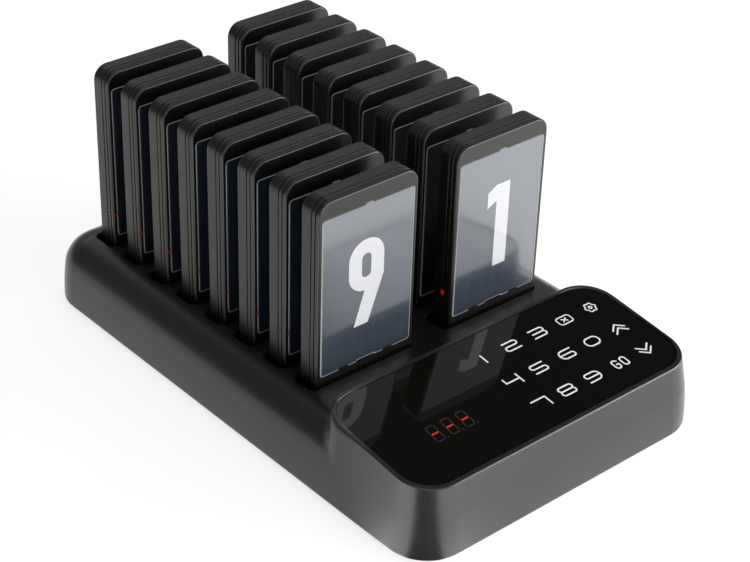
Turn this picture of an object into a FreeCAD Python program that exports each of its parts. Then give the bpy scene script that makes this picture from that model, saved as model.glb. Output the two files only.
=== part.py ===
"""Guest pager system: a charging base with a touch keypad and sixteen plug-in pagers.

Sizes are in millimetres. +X is to the right of someone at the keypad, -Y is the keypad side
and +Z is up. The origin is on the table, under the middle of the base.
"""
import FreeCAD, Part
import math
import os

os.makedirs("parts", exist_ok=True)
V = FreeCAD.Vector

# ---------------------------------------------------------------- driving dimensions
# Base shell
BASE_WIDTH = 169.0
BASE_LENGTH = 271.8
BASE_CORNER_RADIUS = 20.5        # plan corner at the widest line
FOOT_STANDOFF = 1.0              # lower edge of the shell above the table
DECK_HEIGHT = 33.4               # slot deck above the lower edge of the shell
SHELL_WALL = 3.0
LOWER_EDGE_RADIUS = 2.4
WALL_BULGE_RADIUS = 120.0        # the side walls are slightly barrelled
SHOULDER_RADIUS = 16.0           # roll from the walls onto the deck

# Keypad desk: the raised, tilted front end of the shell
DESK_TILT = 7.0                  # degrees, rising to the rear
DESK_FRONT_RISE = 0.35           # rim plane over the deck, at the rim's front edge
RIM_LENGTH = 68.4                # along the desk
RIM_CORNER_RADIUS = 16.5
RIM_SIDE_INSET = 3.7             # widest line of the base to the rim's outer edge
RIM_END_INSET = 4.25
RIM_EDGE_BEVEL = 0.5

# Keypad panel
PANEL_WIDTH = 157.4
PANEL_LENGTH = 63.2
PANEL_CORNER_RADIUS = 14.5
PANEL_SETBACK = 2.9              # front edge of the rim to the panel, along the desk
PANEL_THICKNESS = 2.0
PANEL_RECESS = 0.4               # panel face under the rim
PANEL_GAP = 0.3
LEDGE_WIDTH = 3.5
LEDGE_THICKNESS = 2.0
TOUCH_BOARD_GAP = 0.3

# Display behind the panel
DISPLAY_WIDTH = 25.4
DISPLAY_LENGTH = 14.0
DISPLAY_DEPTH = 7.0
DISPLAY_X = -42.0
DISPLAY_SETBACK = 27.6           # front edge of the rim to the display centre, along the desk
DISPLAY_GAP = 0.3

# Pager row
ROW_COUNT = 8
COLUMN_SPACING = 76.0
FIRST_PAGER_SETBACK = 90.1       # front line of the base to the face of the first pager
REAR_MARGIN = 19.7               # back of the last pager to the rear line of the base
SEAT_DEPTH = 16.1                # pager below the deck when docked
SEAT_GAP = 0.2

# Slots and slot trays
SLOT_SIDE_CLEARANCE = 2.0        # half of a pager's play across its opening
SLOT_END_CLEARANCE = 1.5         # the same from front to back
SLOT_SHIFT_X = -1.2              # middle of the seated pager to the middle of its opening
SLOT_SHIFT_Y = 0.4
SLOT_CORNER_RADIUS = 3.0
SLOT_CHAMFER = 0.3
GUIDE_CLEARANCE = 0.4
GUIDE_CORNER_RADIUS = 1.0
GUIDE_HEIGHT = 8.0
LEAD_IN_HEIGHT = 3.0
TRAY_WALL = 1.6
TRAY_FLOOR = 1.6
TRAY_GAP = 0.2                   # under the deck

# Pager case
PAGER_WIDTH = 54.0
PAGER_HEIGHT = 105.0
PAGER_CORNER_RADIUS = 7.0
CASE_WALL = 1.4
FRONT_SHELL_DEPTH = 2.2
REAR_SHELL_DEPTH = 6.2
BAND_DEPTH = 1.9
GROOVE_WIDTH = 0.6
GROOVE_DEPTH = 0.6
BAND_INNER_INSET = 2.2
FACE_EDGE_RADIUS = 0.9
BACK_EDGE_RADIUS = 1.0
SEAM_EDGE_RADIUS = 0.3

# Pager window and number card
WINDOW_WIDTH = 50.5
WINDOW_HEIGHT = 76.8
WINDOW_BOTTOM = 20.2             # above the pager's lower end
WINDOW_THICKNESS = 1.0
WINDOW_PROUD = 0.15
WINDOW_GAP = 0.1
WINDOW_CORNER_RADIUS = 1.8
WINDOW_BEVEL = 0.3
CARD_THICKNESS = 0.3
TAB_WIDTH = 5.0                  # finger tab at the top of the window
TAB_HEIGHT = 0.8
NOTCH_WIDTH = 4.2                # snap notches in the window's lower edge
NOTCH_DEPTH = 0.8
NOTCH_OFFSET = 12.4
PRY_WIDTH = 9.6                  # shallow notch between them, for a fingernail
PRY_DEPTH = 0.7

# Pager inside
PAGER_BOARD_WIDTH = 44.0
PAGER_BOARD_HEIGHT = 80.0
PAGER_BOARD_THICKNESS = 1.0
PAGER_BOARD_GAP = 0.6            # behind the front shell
BATTERY_WIDTH = 34.0
BATTERY_HEIGHT = 42.0
BATTERY_DEPTH = 4.4
BATTERY_EDGE_RADIUS = 1.2
BATTERY_CENTRE = 66.0            # above the pager's lower end
PAD_DEPTH = 0.2                  # adhesive pad between battery and board
MOTOR_RADIUS = 5.0
MOTOR_DEPTH = 3.0
MOTOR_X = -12.0
MOTOR_CENTRE = 24.0
PAGER_SOUNDER_SIZE = 9.0
PAGER_SOUNDER_DEPTH = 2.4
PAGER_SOUNDER_X = 12.0
PAGER_SOUNDER_PORT_RADIUS = 1.0
LED_LENGTH = 3.2
LED_WIDTH = 1.6
LED_DEPTH = 1.1
LED_HEIGHTS = (32.0, 80.0)
CONTACT_WIDTH = 4.0
CONTACT_DEPTH = 2.4
CONTACT_HEIGHT = 1.8
CONTACT_OFFSET = 6.0
CONTACT_RECESS = 0.05
CONTACT_GAP = 0.05
CONTACT_SETBACK = 7.8            # pager face to the contact centre
CASE_BOSS_RADIUS = 2.4
CASE_BOSS_INSET = 6.8
CASE_BOSS_JOINT = 5.0            # pager face to where front and rear bosses meet
PAGER_SCREW_RADIUS = 0.9
PAGER_SCREW_HEAD_RADIUS = 1.7
PAGER_SCREW_HEAD_HEIGHT = 1.2
PAGER_SCREW_LENGTH = 7.0
SCREW_GAP = 0.05
DRIVE_SPAN = 0.6                 # cross drive, as a share of the head's diameter
DRIVE_WIDTH = 0.33               # as a share of the head's radius

# Boards and contacts in the base
BOARD_THICKNESS = 1.6
CHARGING_BOARD_WIDTH = 56.0
CHARGING_BOARD_NOSE = 10.0       # reaches past the tray, towards the keypad
MAIN_BOARD_WIDTH = 118.0
MAIN_BOARD_LENGTH = 52.0
MAIN_BOARD_SETBACK = 16.0        # front line of the base to the board
PIN_BARREL_RADIUS = 1.0
PIN_PLUNGER_RADIUS = 0.6
PIN_BARREL_HEIGHT = 1.2
PIN_HOLE_RADIUS = 1.3
PIN_TIP_GAP = 0.05
POST_RADIUS = 2.6
BOARD_SCREW_RADIUS = 1.1
BOARD_SCREW_LENGTH = 6.0
BOARD_SCREW_HEAD_RADIUS = 2.1
BOARD_SCREW_HEAD_HEIGHT = 1.2
BOARD_HOLE_RADIUS = 1.4
BOARD_SCREW_INSET = 4.0
RADIO_WIDTH = 18.0
RADIO_LENGTH = 16.0
RADIO_HEIGHT = 3.0
RADIO_X = 36.0
RADIO_EDGE_RADIUS = 0.6
ANTENNA_RADIUS = 0.6
ANTENNA_LENGTH = 74.0
ANTENNA_RISE = 7.0
ANTENNA_BEND_RADIUS = 3.0
BASE_SOUNDER_RADIUS = 6.0
BASE_SOUNDER_HEIGHT = 6.5
BASE_SOUNDER_PORT_RADIUS = 1.2
BASE_SOUNDER_X = 10.0
RIBBON_WIDTH = 12.0
RIBBON_THICKNESS = 0.7
RIBBON_LAP = 6.0
RIBBON_GAP = 0.2

# Bottom cover, feet and screws
COVER_THICKNESS = 2.4
COVER_GAP = 0.2
CASE_SCREW_RADIUS = 1.3
CASE_SCREW_LENGTH = 12.0
CASE_SCREW_HEAD_RADIUS = 2.8
CASE_SCREW_HEAD_HEIGHT = 1.4
CASE_SCREW_PASS = 0.3            # play of the shank in the cover
CASE_SCREW_REACH = 12.5          # corner axis to the corner screws
CASE_SCREW_SPAN = 90.0           # between the two screws of the middle aisle
SHELL_BOSS_RADIUS = 3.6
FOOT_RADIUS = 7.0
FOOT_SEAT = 0.8
FOOT_EDGE_RADIUS = 0.4

# Power inlet in the rear wall
INLET_HEIGHT = 12.0              # above the lower edge of the shell
INLET_BODY_WIDTH = 11.0
INLET_BODY_DEPTH = 11.0
INLET_NOSE_RADIUS = 4.2
INLET_NOSE_GAP = 0.15
INLET_BORE_RADIUS = 3.0
INLET_BORE_DEPTH = 10.0
INLET_PIN_RADIUS = 1.0
INLET_PIN_LENGTH = 9.0

# ---------------------------------------------------------------- places that follow
SHELL_BOTTOM = FOOT_STANDOFF
DECK = SHELL_BOTTOM + DECK_HEIGHT
WIDEST = SHELL_BOTTOM + LOWER_EDGE_RADIUS
FRONT_LINE = -BASE_LENGTH / 2
CORNER_X = BASE_WIDTH / 2 - BASE_CORNER_RADIUS
CORNER_Y = BASE_LENGTH / 2 - BASE_CORNER_RADIUS
COVER_TOP = SHELL_BOTTOM + COVER_THICKNESS
RIM_WIDTH = BASE_WIDTH - 2 * RIM_SIDE_INSET
RIM_FRONT = FRONT_LINE + RIM_END_INSET
DESK_REAR = RIM_FRONT + RIM_LENGTH * math.cos(math.radians(DESK_TILT)) + RIM_END_INSET
SHOULDER_RISE = DECK - SHOULDER_RADIUS - WIDEST
SHOULDER_REACH = WALL_BULGE_RADIUS - SHOULDER_RADIUS
SHOULDER_ANGLE = math.asin(SHOULDER_RISE / SHOULDER_REACH)   # lean of the wall where it turns in

PAGER_THICKNESS = FRONT_SHELL_DEPTH + REAR_SHELL_DEPTH + BAND_DEPTH + 2 * GROOVE_WIDTH
REAR_SHELL_FRONT = PAGER_THICKNESS - REAR_SHELL_DEPTH
PAGER_BOTTOM = DECK - SEAT_DEPTH
FIRST_FACE = FRONT_LINE + FIRST_PAGER_SETBACK
ROW_LENGTH = BASE_LENGTH - FIRST_PAGER_SETBACK - REAR_MARGIN
ROW_PITCH = (ROW_LENGTH - PAGER_THICKNESS) / (ROW_COUNT - 1)
COLUMNS = (COLUMN_SPACING / 2, -COLUMN_SPACING / 2)

TRAY_TOP = DECK - SHELL_WALL
FLOOR_TOP = PAGER_BOTTOM - SEAT_GAP
BOARD_TOP = FLOOR_TOP - TRAY_FLOOR
BOARD_BOTTOM = BOARD_TOP - BOARD_THICKNESS
SLOT_WIDTH = PAGER_WIDTH + 2 * SLOT_SIDE_CLEARANCE
SLOT_LENGTH = PAGER_THICKNESS + 2 * SLOT_END_CLEARANCE
TRAY_WIDTH = SLOT_WIDTH + 2 * TRAY_WALL
TRAY_FRONT = FIRST_FACE + SLOT_SHIFT_Y - SLOT_END_CLEARANCE - TRAY_WALL
TRAY_LENGTH = ROW_LENGTH + 2 * SLOT_END_CLEARANCE + 2 * TRAY_WALL
MAIN_BOARD_FRONT = FRONT_LINE + MAIN_BOARD_SETBACK
MAIN_BOARD_REAR = MAIN_BOARD_FRONT + MAIN_BOARD_LENGTH
CHARGING_BOARD_FRONT = TRAY_FRONT - CHARGING_BOARD_NOSE
CHARGING_BOARD_REAR = TRAY_FRONT + TRAY_LENGTH
INLET_Z = SHELL_BOTTOM + INLET_HEIGHT
BIG = 400.0                      # longer than the whole unit
OVERCUT = 1.0                    # how far a cutter or a joined piece runs past a face
SAME_PLANE = 1e-4
FUSE_TOLERANCE = 0.01


# ---------------------------------------------------------------- shape helpers
def rounded_wire(width, length, radius, z=0.0):
    """A rounded rectangle about the Z axis, in the plane at height z."""
    x = width / 2
    y = length / 2
    inner_x = x - radius
    inner_y = y - radius
    slant = radius * math.sqrt(0.5)
    edges = []
    for sx, sy in ((1, 1), (-1, 1), (-1, -1), (1, -1)):
        centre = V(sx * inner_x, sy * inner_y, z)
        on_side = centre + V(sx * radius, 0, 0)
        on_end = centre + V(0, sy * radius, 0)
        middle = centre + V(sx * slant, sy * slant, 0)
        first, last = (on_side, on_end) if sx * sy > 0 else (on_end, on_side)
        edges.append(Part.Arc(first, middle, last).toShape())
    corners = list(edges)
    for before, after in zip(corners, corners[1:] + corners[:1]):
        start = before.valueAt(before.LastParameter)
        end = after.valueAt(after.FirstParameter)
        edges.append(Part.LineSegment(start, end).toShape())
    return Part.Wire(Part.__sortEdges__(edges))


def rounded_block(width, length, radius, bottom, top):
    """An upright block with rounded plan corners."""
    face = Part.Face(rounded_wire(width, length, radius, bottom))
    return face.extrude(V(0, 0, top - bottom))


def slab(width, height, radius, front, back, centre_z):
    """A rounded plate that faces -Y, between two distances behind the pager's face."""
    block = rounded_block(width, height, radius, 0.0, back - front)
    block.rotate(V(0, 0, 0), V(1, 0, 0), -90)
    block.translate(V(0, front, centre_z))
    return block


def box(width, length, height, x, y, z):
    """A box centred on x and y that stands on z."""
    return Part.makeBox(width, length, height, V(x - width / 2, y - length / 2, z))


def rod(radius, start, end):
    """A straight round bar between two points."""
    axis = end.sub(start)
    return Part.makeCylinder(radius, axis.Length, start, axis)


def moved(shape, x=0.0, y=0.0, z=0.0):
    copy = shape.copy()
    copy.translate(V(x, y, z))
    return copy


def fused(shapes):
    """One clean solid from pieces that overlap or share faces."""
    return shapes[0].fuse(shapes[1:]).removeSplitter()


def edges_in_plane(shape, height_of):
    """The edges whose ends and middle all lie where height_of is zero."""
    found = []
    for edge in shape.Edges:
        middle = (edge.FirstParameter + edge.LastParameter) / 2
        points = [edge.valueAt(p) for p in (edge.FirstParameter, middle, edge.LastParameter)]
        if all(abs(height_of(point)) < SAME_PLANE for point in points):
            found.append(edge)
    return found


def on_desk(shape):
    """Carries a shape from desk coordinates (y up the slope from the rim's edge) to its place."""
    copy = shape.copy()
    copy.rotate(V(0, 0, 0), V(1, 0, 0), DESK_TILT)
    copy.translate(V(0, RIM_FRONT, DECK + DESK_FRONT_RISE))
    return copy


def wall_inset(inset, height):
    """How far the wall lies inside its widest line at a height over that line."""
    bulge = WALL_BULGE_RADIUS - inset
    return WALL_BULGE_RADIUS - math.sqrt(bulge ** 2 - height ** 2)


# ---------------------------------------------------------------- base shell
def wall_profile(inset, bottom):
    """Half section of the shell about a corner axis, drawn in X (outwards) and Z.

    inset shrinks it for the cavity.
    """
    outer = BASE_CORNER_RADIUS - inset
    bulge_centre = V(BASE_CORNER_RADIUS - WALL_BULGE_RADIUS, 0, WIDEST)
    bulge = WALL_BULGE_RADIUS - inset
    roll = SHOULDER_RADIUS - inset

    def on_bulge(angle):
        return bulge_centre + V(bulge * math.cos(angle), 0, bulge * math.sin(angle))

    edges = []
    if inset:
        foot = V(outer, 0, bottom)
        edges.append(Part.LineSegment(foot, on_bulge(0)).toShape())
    else:
        foot = V(outer - LOWER_EDGE_RADIUS, 0, bottom)
        rounding = V(outer - LOWER_EDGE_RADIUS, 0, WIDEST)
        slant = LOWER_EDGE_RADIUS * math.sqrt(0.5)
        middle = rounding + V(slant, 0, -slant)
        edges.append(Part.Arc(foot, middle, on_bulge(0)).toShape())
    roll_centre = bulge_centre + V(SHOULDER_REACH * math.cos(SHOULDER_ANGLE), 0, SHOULDER_RISE)
    half_way = (SHOULDER_ANGLE + math.pi / 2) / 2
    roll_middle = roll_centre + V(roll * math.cos(half_way), 0, roll * math.sin(half_way))
    top = roll_centre + V(0, 0, roll)
    turn = on_bulge(SHOULDER_ANGLE)
    edges.append(Part.Arc(on_bulge(0), on_bulge(SHOULDER_ANGLE / 2), turn).toShape())
    edges.append(Part.Arc(turn, roll_middle, top).toShape())
    corner_top = V(0, 0, top.z)
    corner_foot = V(0, 0, bottom)
    edges.append(Part.LineSegment(top, corner_top).toShape())
    edges.append(Part.LineSegment(corner_top, corner_foot).toShape())
    edges.append(Part.LineSegment(corner_foot, foot).toShape())
    return Part.Face(Part.Wire(edges))


def shell_block(inset, bottom):
    """The base's solid: the wall profile carried round its plan, and the core within."""
    profile = wall_profile(inset, bottom)
    top = profile.BoundBox.ZMax
    pieces = [Part.makeBox(2 * CORNER_X, 2 * CORNER_Y, top - bottom, V(-CORNER_X, -CORNER_Y, bottom))]
    for quarter in range(4):
        sx = 1 if quarter in (0, 3) else -1
        sy = 1 if quarter in (0, 1) else -1
        corner = profile.revolve(V(0, 0, 0), V(0, 0, 1), 90)
        corner.rotate(V(0, 0, 0), V(0, 0, 1), 90 * quarter)
        pieces.append(moved(corner, sx * CORNER_X, sy * CORNER_Y))
        on_side = quarter % 2 == 0
        run = CORNER_Y if on_side else CORNER_X
        side = moved(profile, 0, -run).extrude(V(0, 2 * run, 0))
        side.translate(V(CORNER_X if on_side else CORNER_Y, 0, 0))
        side.rotate(V(0, 0, 0), V(0, 0, 1), 90 * quarter)
        pieces.append(side)
    return fused(pieces)


def turn_height(inset):
    """Height over the widest line where the wall turns in to the shoulder."""
    return (WALL_BULGE_RADIUS - inset) * math.sin(SHOULDER_ANGLE)


def rim_wire(inset, depth):
    """The rim's outline, shrunk by inset, at a depth under the rim plane."""
    wire = rounded_wire(RIM_WIDTH - 2 * inset, RIM_LENGTH - 2 * inset, RIM_CORNER_RADIUS - inset, -depth)
    wire.translate(V(0, RIM_LENGTH / 2, 0))
    return on_desk(wire)


def desk_block(inset, drop, bevel):
    """The desk's upper part: from the line where the walls turn in up to drop under the rim."""
    lean = wall_inset(inset, turn_height(inset))
    length = DESK_REAR - FRONT_LINE - 2 * lean
    turn = WIDEST + turn_height(inset)
    lower = rounded_wire(BASE_WIDTH - 2 * lean, length, BASE_CORNER_RADIUS - lean, turn)
    lower.translate(V(0, (FRONT_LINE + DESK_REAR) / 2, 0))
    wires = [lower, rim_wire(inset, drop + bevel)]
    if bevel:
        wires.append(rim_wire(inset + bevel, drop))
    return Part.makeLoft(wires, True, True)


def base_block(inset, bottom, drop, bevel):
    """Walls, slot deck and desk as one solid, shrunk by inset, its desk drop under the rim."""
    whole = shell_block(inset, bottom)
    turn = WIDEST + turn_height(inset)
    corner_start = DESK_REAR - BASE_CORNER_RADIUS
    walls = whole.common(Part.makeBox(BIG, BIG, BIG, V(-BIG / 2, -BIG / 2, turn - BIG)))
    deck = whole.common(Part.makeBox(BIG, BIG, BIG, V(-BIG / 2, corner_start, turn)))
    upper = deck.fuse((desk_block(inset, drop, bevel),), FUSE_TOLERANCE)
    return fused([walls, upper])


def panel_block(margin, top, bottom):
    """A block in the panel's outline, grown by margin, between two depths under the rim."""
    block = rounded_block(PANEL_WIDTH + 2 * margin, PANEL_LENGTH + 2 * margin,
                          PANEL_CORNER_RADIUS + margin, -bottom, -top)
    return on_desk(moved(block, 0, PANEL_SETBACK + PANEL_LENGTH / 2))


def slot_cutter():
    """The opening for one pager, with its chamfer, about the pager's centre."""
    through = rounded_block(SLOT_WIDTH, SLOT_LENGTH, SLOT_CORNER_RADIUS, TRAY_TOP - OVERCUT, DECK + OVERCUT)
    lower = rounded_wire(SLOT_WIDTH, SLOT_LENGTH, SLOT_CORNER_RADIUS, DECK - SLOT_CHAMFER)
    flare = 2 * SLOT_CHAMFER
    upper = rounded_wire(SLOT_WIDTH + 2 * flare, SLOT_LENGTH + 2 * flare, SLOT_CORNER_RADIUS + flare,
                         DECK + SLOT_CHAMFER)
    cutter = fused([through, Part.makeLoft([lower, upper], True, True)])
    return moved(cutter, SLOT_SHIFT_X, SLOT_SHIFT_Y)


def pager_places():
    """Number, column centre and face position of each pager: right column first, front to back."""
    places = []
    for column, x in enumerate(COLUMNS):
        for row in range(ROW_COUNT):
            places.append((column * ROW_COUNT + row + 1, x, FIRST_FACE + row * ROW_PITCH))
    return places


def case_screw_places():
    """The six screws that hold the cover: one per corner and two in the aisle."""
    reach = CASE_SCREW_REACH * math.sqrt(0.5)
    places = [(sx * (CORNER_X + reach), sy * (CORNER_Y + reach)) for sx in (-1, 1) for sy in (-1, 1)]
    aisle_centre = FIRST_FACE + ROW_LENGTH / 2
    places += [(0.0, aisle_centre + side * CASE_SCREW_SPAN / 2) for side in (-1, 1)]
    return places


def base_top_shell():
    below = SHELL_BOTTOM - OVERCUT
    seat = PANEL_RECESS + PANEL_THICKNESS
    ledge_bottom = seat + LEDGE_THICKNESS
    outer = base_block(0.0, SHELL_BOTTOM, 0.0, RIM_EDGE_BEVEL)
    shell = outer.cut(base_block(SHELL_WALL, below, ledge_bottom, 0.0))
    bosses = []
    for x, y in case_screw_places():
        boss = rod(SHELL_BOSS_RADIUS, V(x, y, COVER_TOP), V(x, y, BIG))
        bosses.append(boss.common(outer))
    shell = fused([shell] + bosses)
    cutters = [panel_block(PANEL_GAP, -seat, seat),
               panel_block(-LEDGE_WIDTH, 0.0, ledge_bottom)]
    slot = slot_cutter()
    for _, x, face in pager_places():
        cutters.append(moved(slot, x, face + PAGER_THICKNESS / 2))
    for x, y in case_screw_places():
        hole_top = SHELL_BOTTOM + CASE_SCREW_HEAD_HEIGHT + CASE_SCREW_LENGTH
        cutters.append(rod(CASE_SCREW_RADIUS + SCREW_GAP, V(x, y, below), V(x, y, hole_top)))
    cutters.append(rod(INLET_NOSE_RADIUS + INLET_NOSE_GAP, V(0, inlet_rear(), INLET_Z),
                       V(0, BASE_LENGTH, INLET_Z)))
    return shell.cut(cutters)


# ---------------------------------------------------------------- keypad parts
def keypad_panel():
    return panel_block(0.0, PANEL_RECESS, PANEL_RECESS + PANEL_THICKNESS)


def display_place(shape):
    return on_desk(moved(shape, DISPLAY_X, DISPLAY_SETBACK))


def touch_board():
    top = PANEL_RECESS + PANEL_THICKNESS
    board = panel_block(-LEDGE_WIDTH - TOUCH_BOARD_GAP, top, top + BOARD_THICKNESS)
    window = box(DISPLAY_WIDTH + 2 * DISPLAY_GAP, DISPLAY_LENGTH + 2 * DISPLAY_GAP, BIG, 0, 0, -BIG / 2)
    return board.cut(display_place(window))


def display_module():
    top = PANEL_RECESS + PANEL_THICKNESS
    body = box(DISPLAY_WIDTH, DISPLAY_LENGTH, DISPLAY_DEPTH, 0, 0, -top - DISPLAY_DEPTH)
    return display_place(body)


# ---------------------------------------------------------------- slot trays and charging
def slot_tray(x):
    tray = box(TRAY_WIDTH, TRAY_LENGTH, TRAY_TOP - BOARD_TOP, x + SLOT_SHIFT_X,
               TRAY_FRONT + TRAY_LENGTH / 2, BOARD_TOP)
    close = (PAGER_WIDTH + 2 * GUIDE_CLEARANCE, PAGER_THICKNESS + 2 * GUIDE_CLEARANCE)
    guide_top = FLOOR_TOP + GUIDE_HEIGHT
    lead_top = guide_top + LEAD_IN_HEIGHT
    lower = rounded_wire(close[0], close[1], GUIDE_CORNER_RADIUS, guide_top)
    upper = rounded_wire(SLOT_WIDTH, SLOT_LENGTH, SLOT_CORNER_RADIUS, lead_top)
    upper.translate(V(SLOT_SHIFT_X, SLOT_SHIFT_Y, 0))
    opening = rounded_block(SLOT_WIDTH, SLOT_LENGTH, SLOT_CORNER_RADIUS, lead_top, TRAY_TOP + OVERCUT)
    well = fused([rounded_block(close[0], close[1], GUIDE_CORNER_RADIUS, FLOOR_TOP, guide_top),
                  Part.makeLoft([lower, upper], True, True),
                  moved(opening, SLOT_SHIFT_X, SLOT_SHIFT_Y)])
    cutters = []
    for _, column, face in pager_places():
        if column == x:
            cutters.append(moved(well, x, face + PAGER_THICKNESS / 2))
            for side in (-1, 1):
                hole_x = x + side * CONTACT_OFFSET
                hole_y = face + CONTACT_SETBACK
                start = V(hole_x, hole_y, BOARD_TOP - OVERCUT)
                cutters.append(rod(PIN_HOLE_RADIUS, start, V(hole_x, hole_y, FLOOR_TOP + OVERCUT)))
    return tray.cut(cutters).common(shell_block(SHELL_WALL + TRAY_GAP, SHELL_BOTTOM))


def board_screw_places():
    """Screws through the boards: four in each."""
    places = []
    half = CHARGING_BOARD_WIDTH / 2 - BOARD_SCREW_INSET
    for x in COLUMNS:
        for side in (-1, 1):
            places.append((x + side * half, CHARGING_BOARD_FRONT + BOARD_SCREW_INSET))
    half = MAIN_BOARD_WIDTH / 2 - BOARD_SCREW_INSET
    for side in (-1, 1):
        for y in (MAIN_BOARD_FRONT + BOARD_SCREW_INSET, MAIN_BOARD_REAR - BOARD_SCREW_INSET):
            places.append((side * half, y))
    return places


def with_screw_holes(board):
    holes = []
    for x, y in board_screw_places():
        holes.append(rod(BOARD_HOLE_RADIUS, V(x, y, BOARD_BOTTOM - OVERCUT), V(x, y, BOARD_TOP + OVERCUT)))
    return board.cut(holes)


def charging_boards():
    length = CHARGING_BOARD_REAR - CHARGING_BOARD_FRONT
    centre = (CHARGING_BOARD_REAR + CHARGING_BOARD_FRONT) / 2
    boards = []
    for x in COLUMNS:
        board = box(CHARGING_BOARD_WIDTH, length, BOARD_THICKNESS, x, centre, BOARD_BOTTOM)
        boards.append(with_screw_holes(board))
    return Part.makeCompound(boards)


def charging_pins():
    """Two spring contacts per slot: a barrel on the board and a domed plunger."""
    tip = PAGER_BOTTOM + CONTACT_RECESS - PIN_TIP_GAP
    ball_centre = tip - PIN_PLUNGER_RADIUS
    barrel = rod(PIN_BARREL_RADIUS, V(0, 0, BOARD_TOP), V(0, 0, BOARD_TOP + PIN_BARREL_HEIGHT))
    plunger = rod(PIN_PLUNGER_RADIUS, V(0, 0, BOARD_TOP), V(0, 0, ball_centre))
    dome = Part.makeSphere(PIN_PLUNGER_RADIUS, V(0, 0, ball_centre))
    pin = fused([barrel, plunger, dome])
    pins = []
    for _, x, face in pager_places():
        for side in (-1, 1):
            pins.append(moved(pin, x + side * CONTACT_OFFSET, face + CONTACT_SETBACK))
    return Part.makeCompound(pins)


def main_board():
    centre = (MAIN_BOARD_FRONT + MAIN_BOARD_REAR) / 2
    board = box(MAIN_BOARD_WIDTH, MAIN_BOARD_LENGTH, BOARD_THICKNESS, 0, centre, BOARD_BOTTOM)
    return with_screw_holes(board)


def radio_place():
    return RADIO_X, (MAIN_BOARD_FRONT + MAIN_BOARD_REAR) / 2


def radio_module():
    x, y = radio_place()
    can = box(RADIO_WIDTH, RADIO_LENGTH, RADIO_HEIGHT, x, y, BOARD_TOP)
    upright = [edge for edge in can.Edges if abs(edge.Length - RADIO_HEIGHT) < 1e-6]
    return can.makeFillet(RADIO_EDGE_RADIUS, upright)


def antenna():
    """A wire that stands on the main board beside the radio and runs along it."""
    x, y = radio_place()
    foot = V(x, y + RADIO_LENGTH / 2 + 2 * ANTENNA_RADIUS, BOARD_TOP)
    knee = foot + V(0, 0, ANTENNA_RISE - ANTENNA_BEND_RADIUS)
    bend_end = foot + V(-ANTENNA_BEND_RADIUS, 0, ANTENNA_RISE)
    bend_slant = ANTENNA_BEND_RADIUS * (1 - math.sqrt(0.5))
    bend_middle = foot + V(-bend_slant, 0, ANTENNA_RISE - bend_slant)
    end = foot + V(-ANTENNA_LENGTH, 0, ANTENNA_RISE)
    path = Part.Wire([Part.LineSegment(foot, knee).toShape(),
                      Part.Arc(knee, bend_middle, bend_end).toShape(),
                      Part.LineSegment(bend_end, end).toShape()])
    section = Part.Wire(Part.makeCircle(ANTENNA_RADIUS, foot, V(0, 0, 1)))
    return path.makePipeShell([section], True, True)


def base_sounder():
    y = MAIN_BOARD_FRONT + BOARD_SCREW_INSET + BASE_SOUNDER_RADIUS
    can = rod(BASE_SOUNDER_RADIUS, V(BASE_SOUNDER_X, y, BOARD_TOP),
              V(BASE_SOUNDER_X, y, BOARD_TOP + BASE_SOUNDER_HEIGHT))
    port_bottom = BOARD_TOP + BASE_SOUNDER_HEIGHT / 2
    port = rod(BASE_SOUNDER_PORT_RADIUS, V(BASE_SOUNDER_X, y, port_bottom),
               V(BASE_SOUNDER_X, y, BOARD_TOP + BASE_SOUNDER_HEIGHT + OVERCUT))
    return can.cut(port)


def ribbon_cables():
    """Flat cables: main board to each charging board, and up to the touch board."""
    start = MAIN_BOARD_REAR - RIBBON_LAP
    end = CHARGING_BOARD_FRONT + RIBBON_LAP
    strips = []
    for x in COLUMNS:
        strips.append(box(RIBBON_WIDTH, end - start, RIBBON_THICKNESS, x, (start + end) / 2, BOARD_TOP))
    riser_y = MAIN_BOARD_REAR - RIBBON_LAP - RIBBON_WIDTH
    riser = box(RIBBON_WIDTH, RIBBON_THICKNESS, BIG, 0, riser_y, BOARD_TOP)
    underside = PANEL_RECESS + PANEL_THICKNESS + BOARD_THICKNESS + RIBBON_GAP
    above = on_desk(Part.makeBox(BIG, BIG, 2 * BIG, V(-BIG / 2, -BIG / 4, -underside)))
    strips.append(riser.cut(above))
    return Part.makeCompound(strips)


# ---------------------------------------------------------------- bottom of the base
def foot_places():
    return [(sx * CORNER_X, sy * CORNER_Y) for sx in (-1, 1) for sy in (-1, 1)]


def inlet_rear():
    """Where the inlet's body ends, just clear of the wall at its top edge."""
    top = INLET_Z + INLET_BODY_WIDTH / 2
    return BASE_LENGTH / 2 - wall_inset(SHELL_WALL, top - WIDEST) - COVER_GAP


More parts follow.
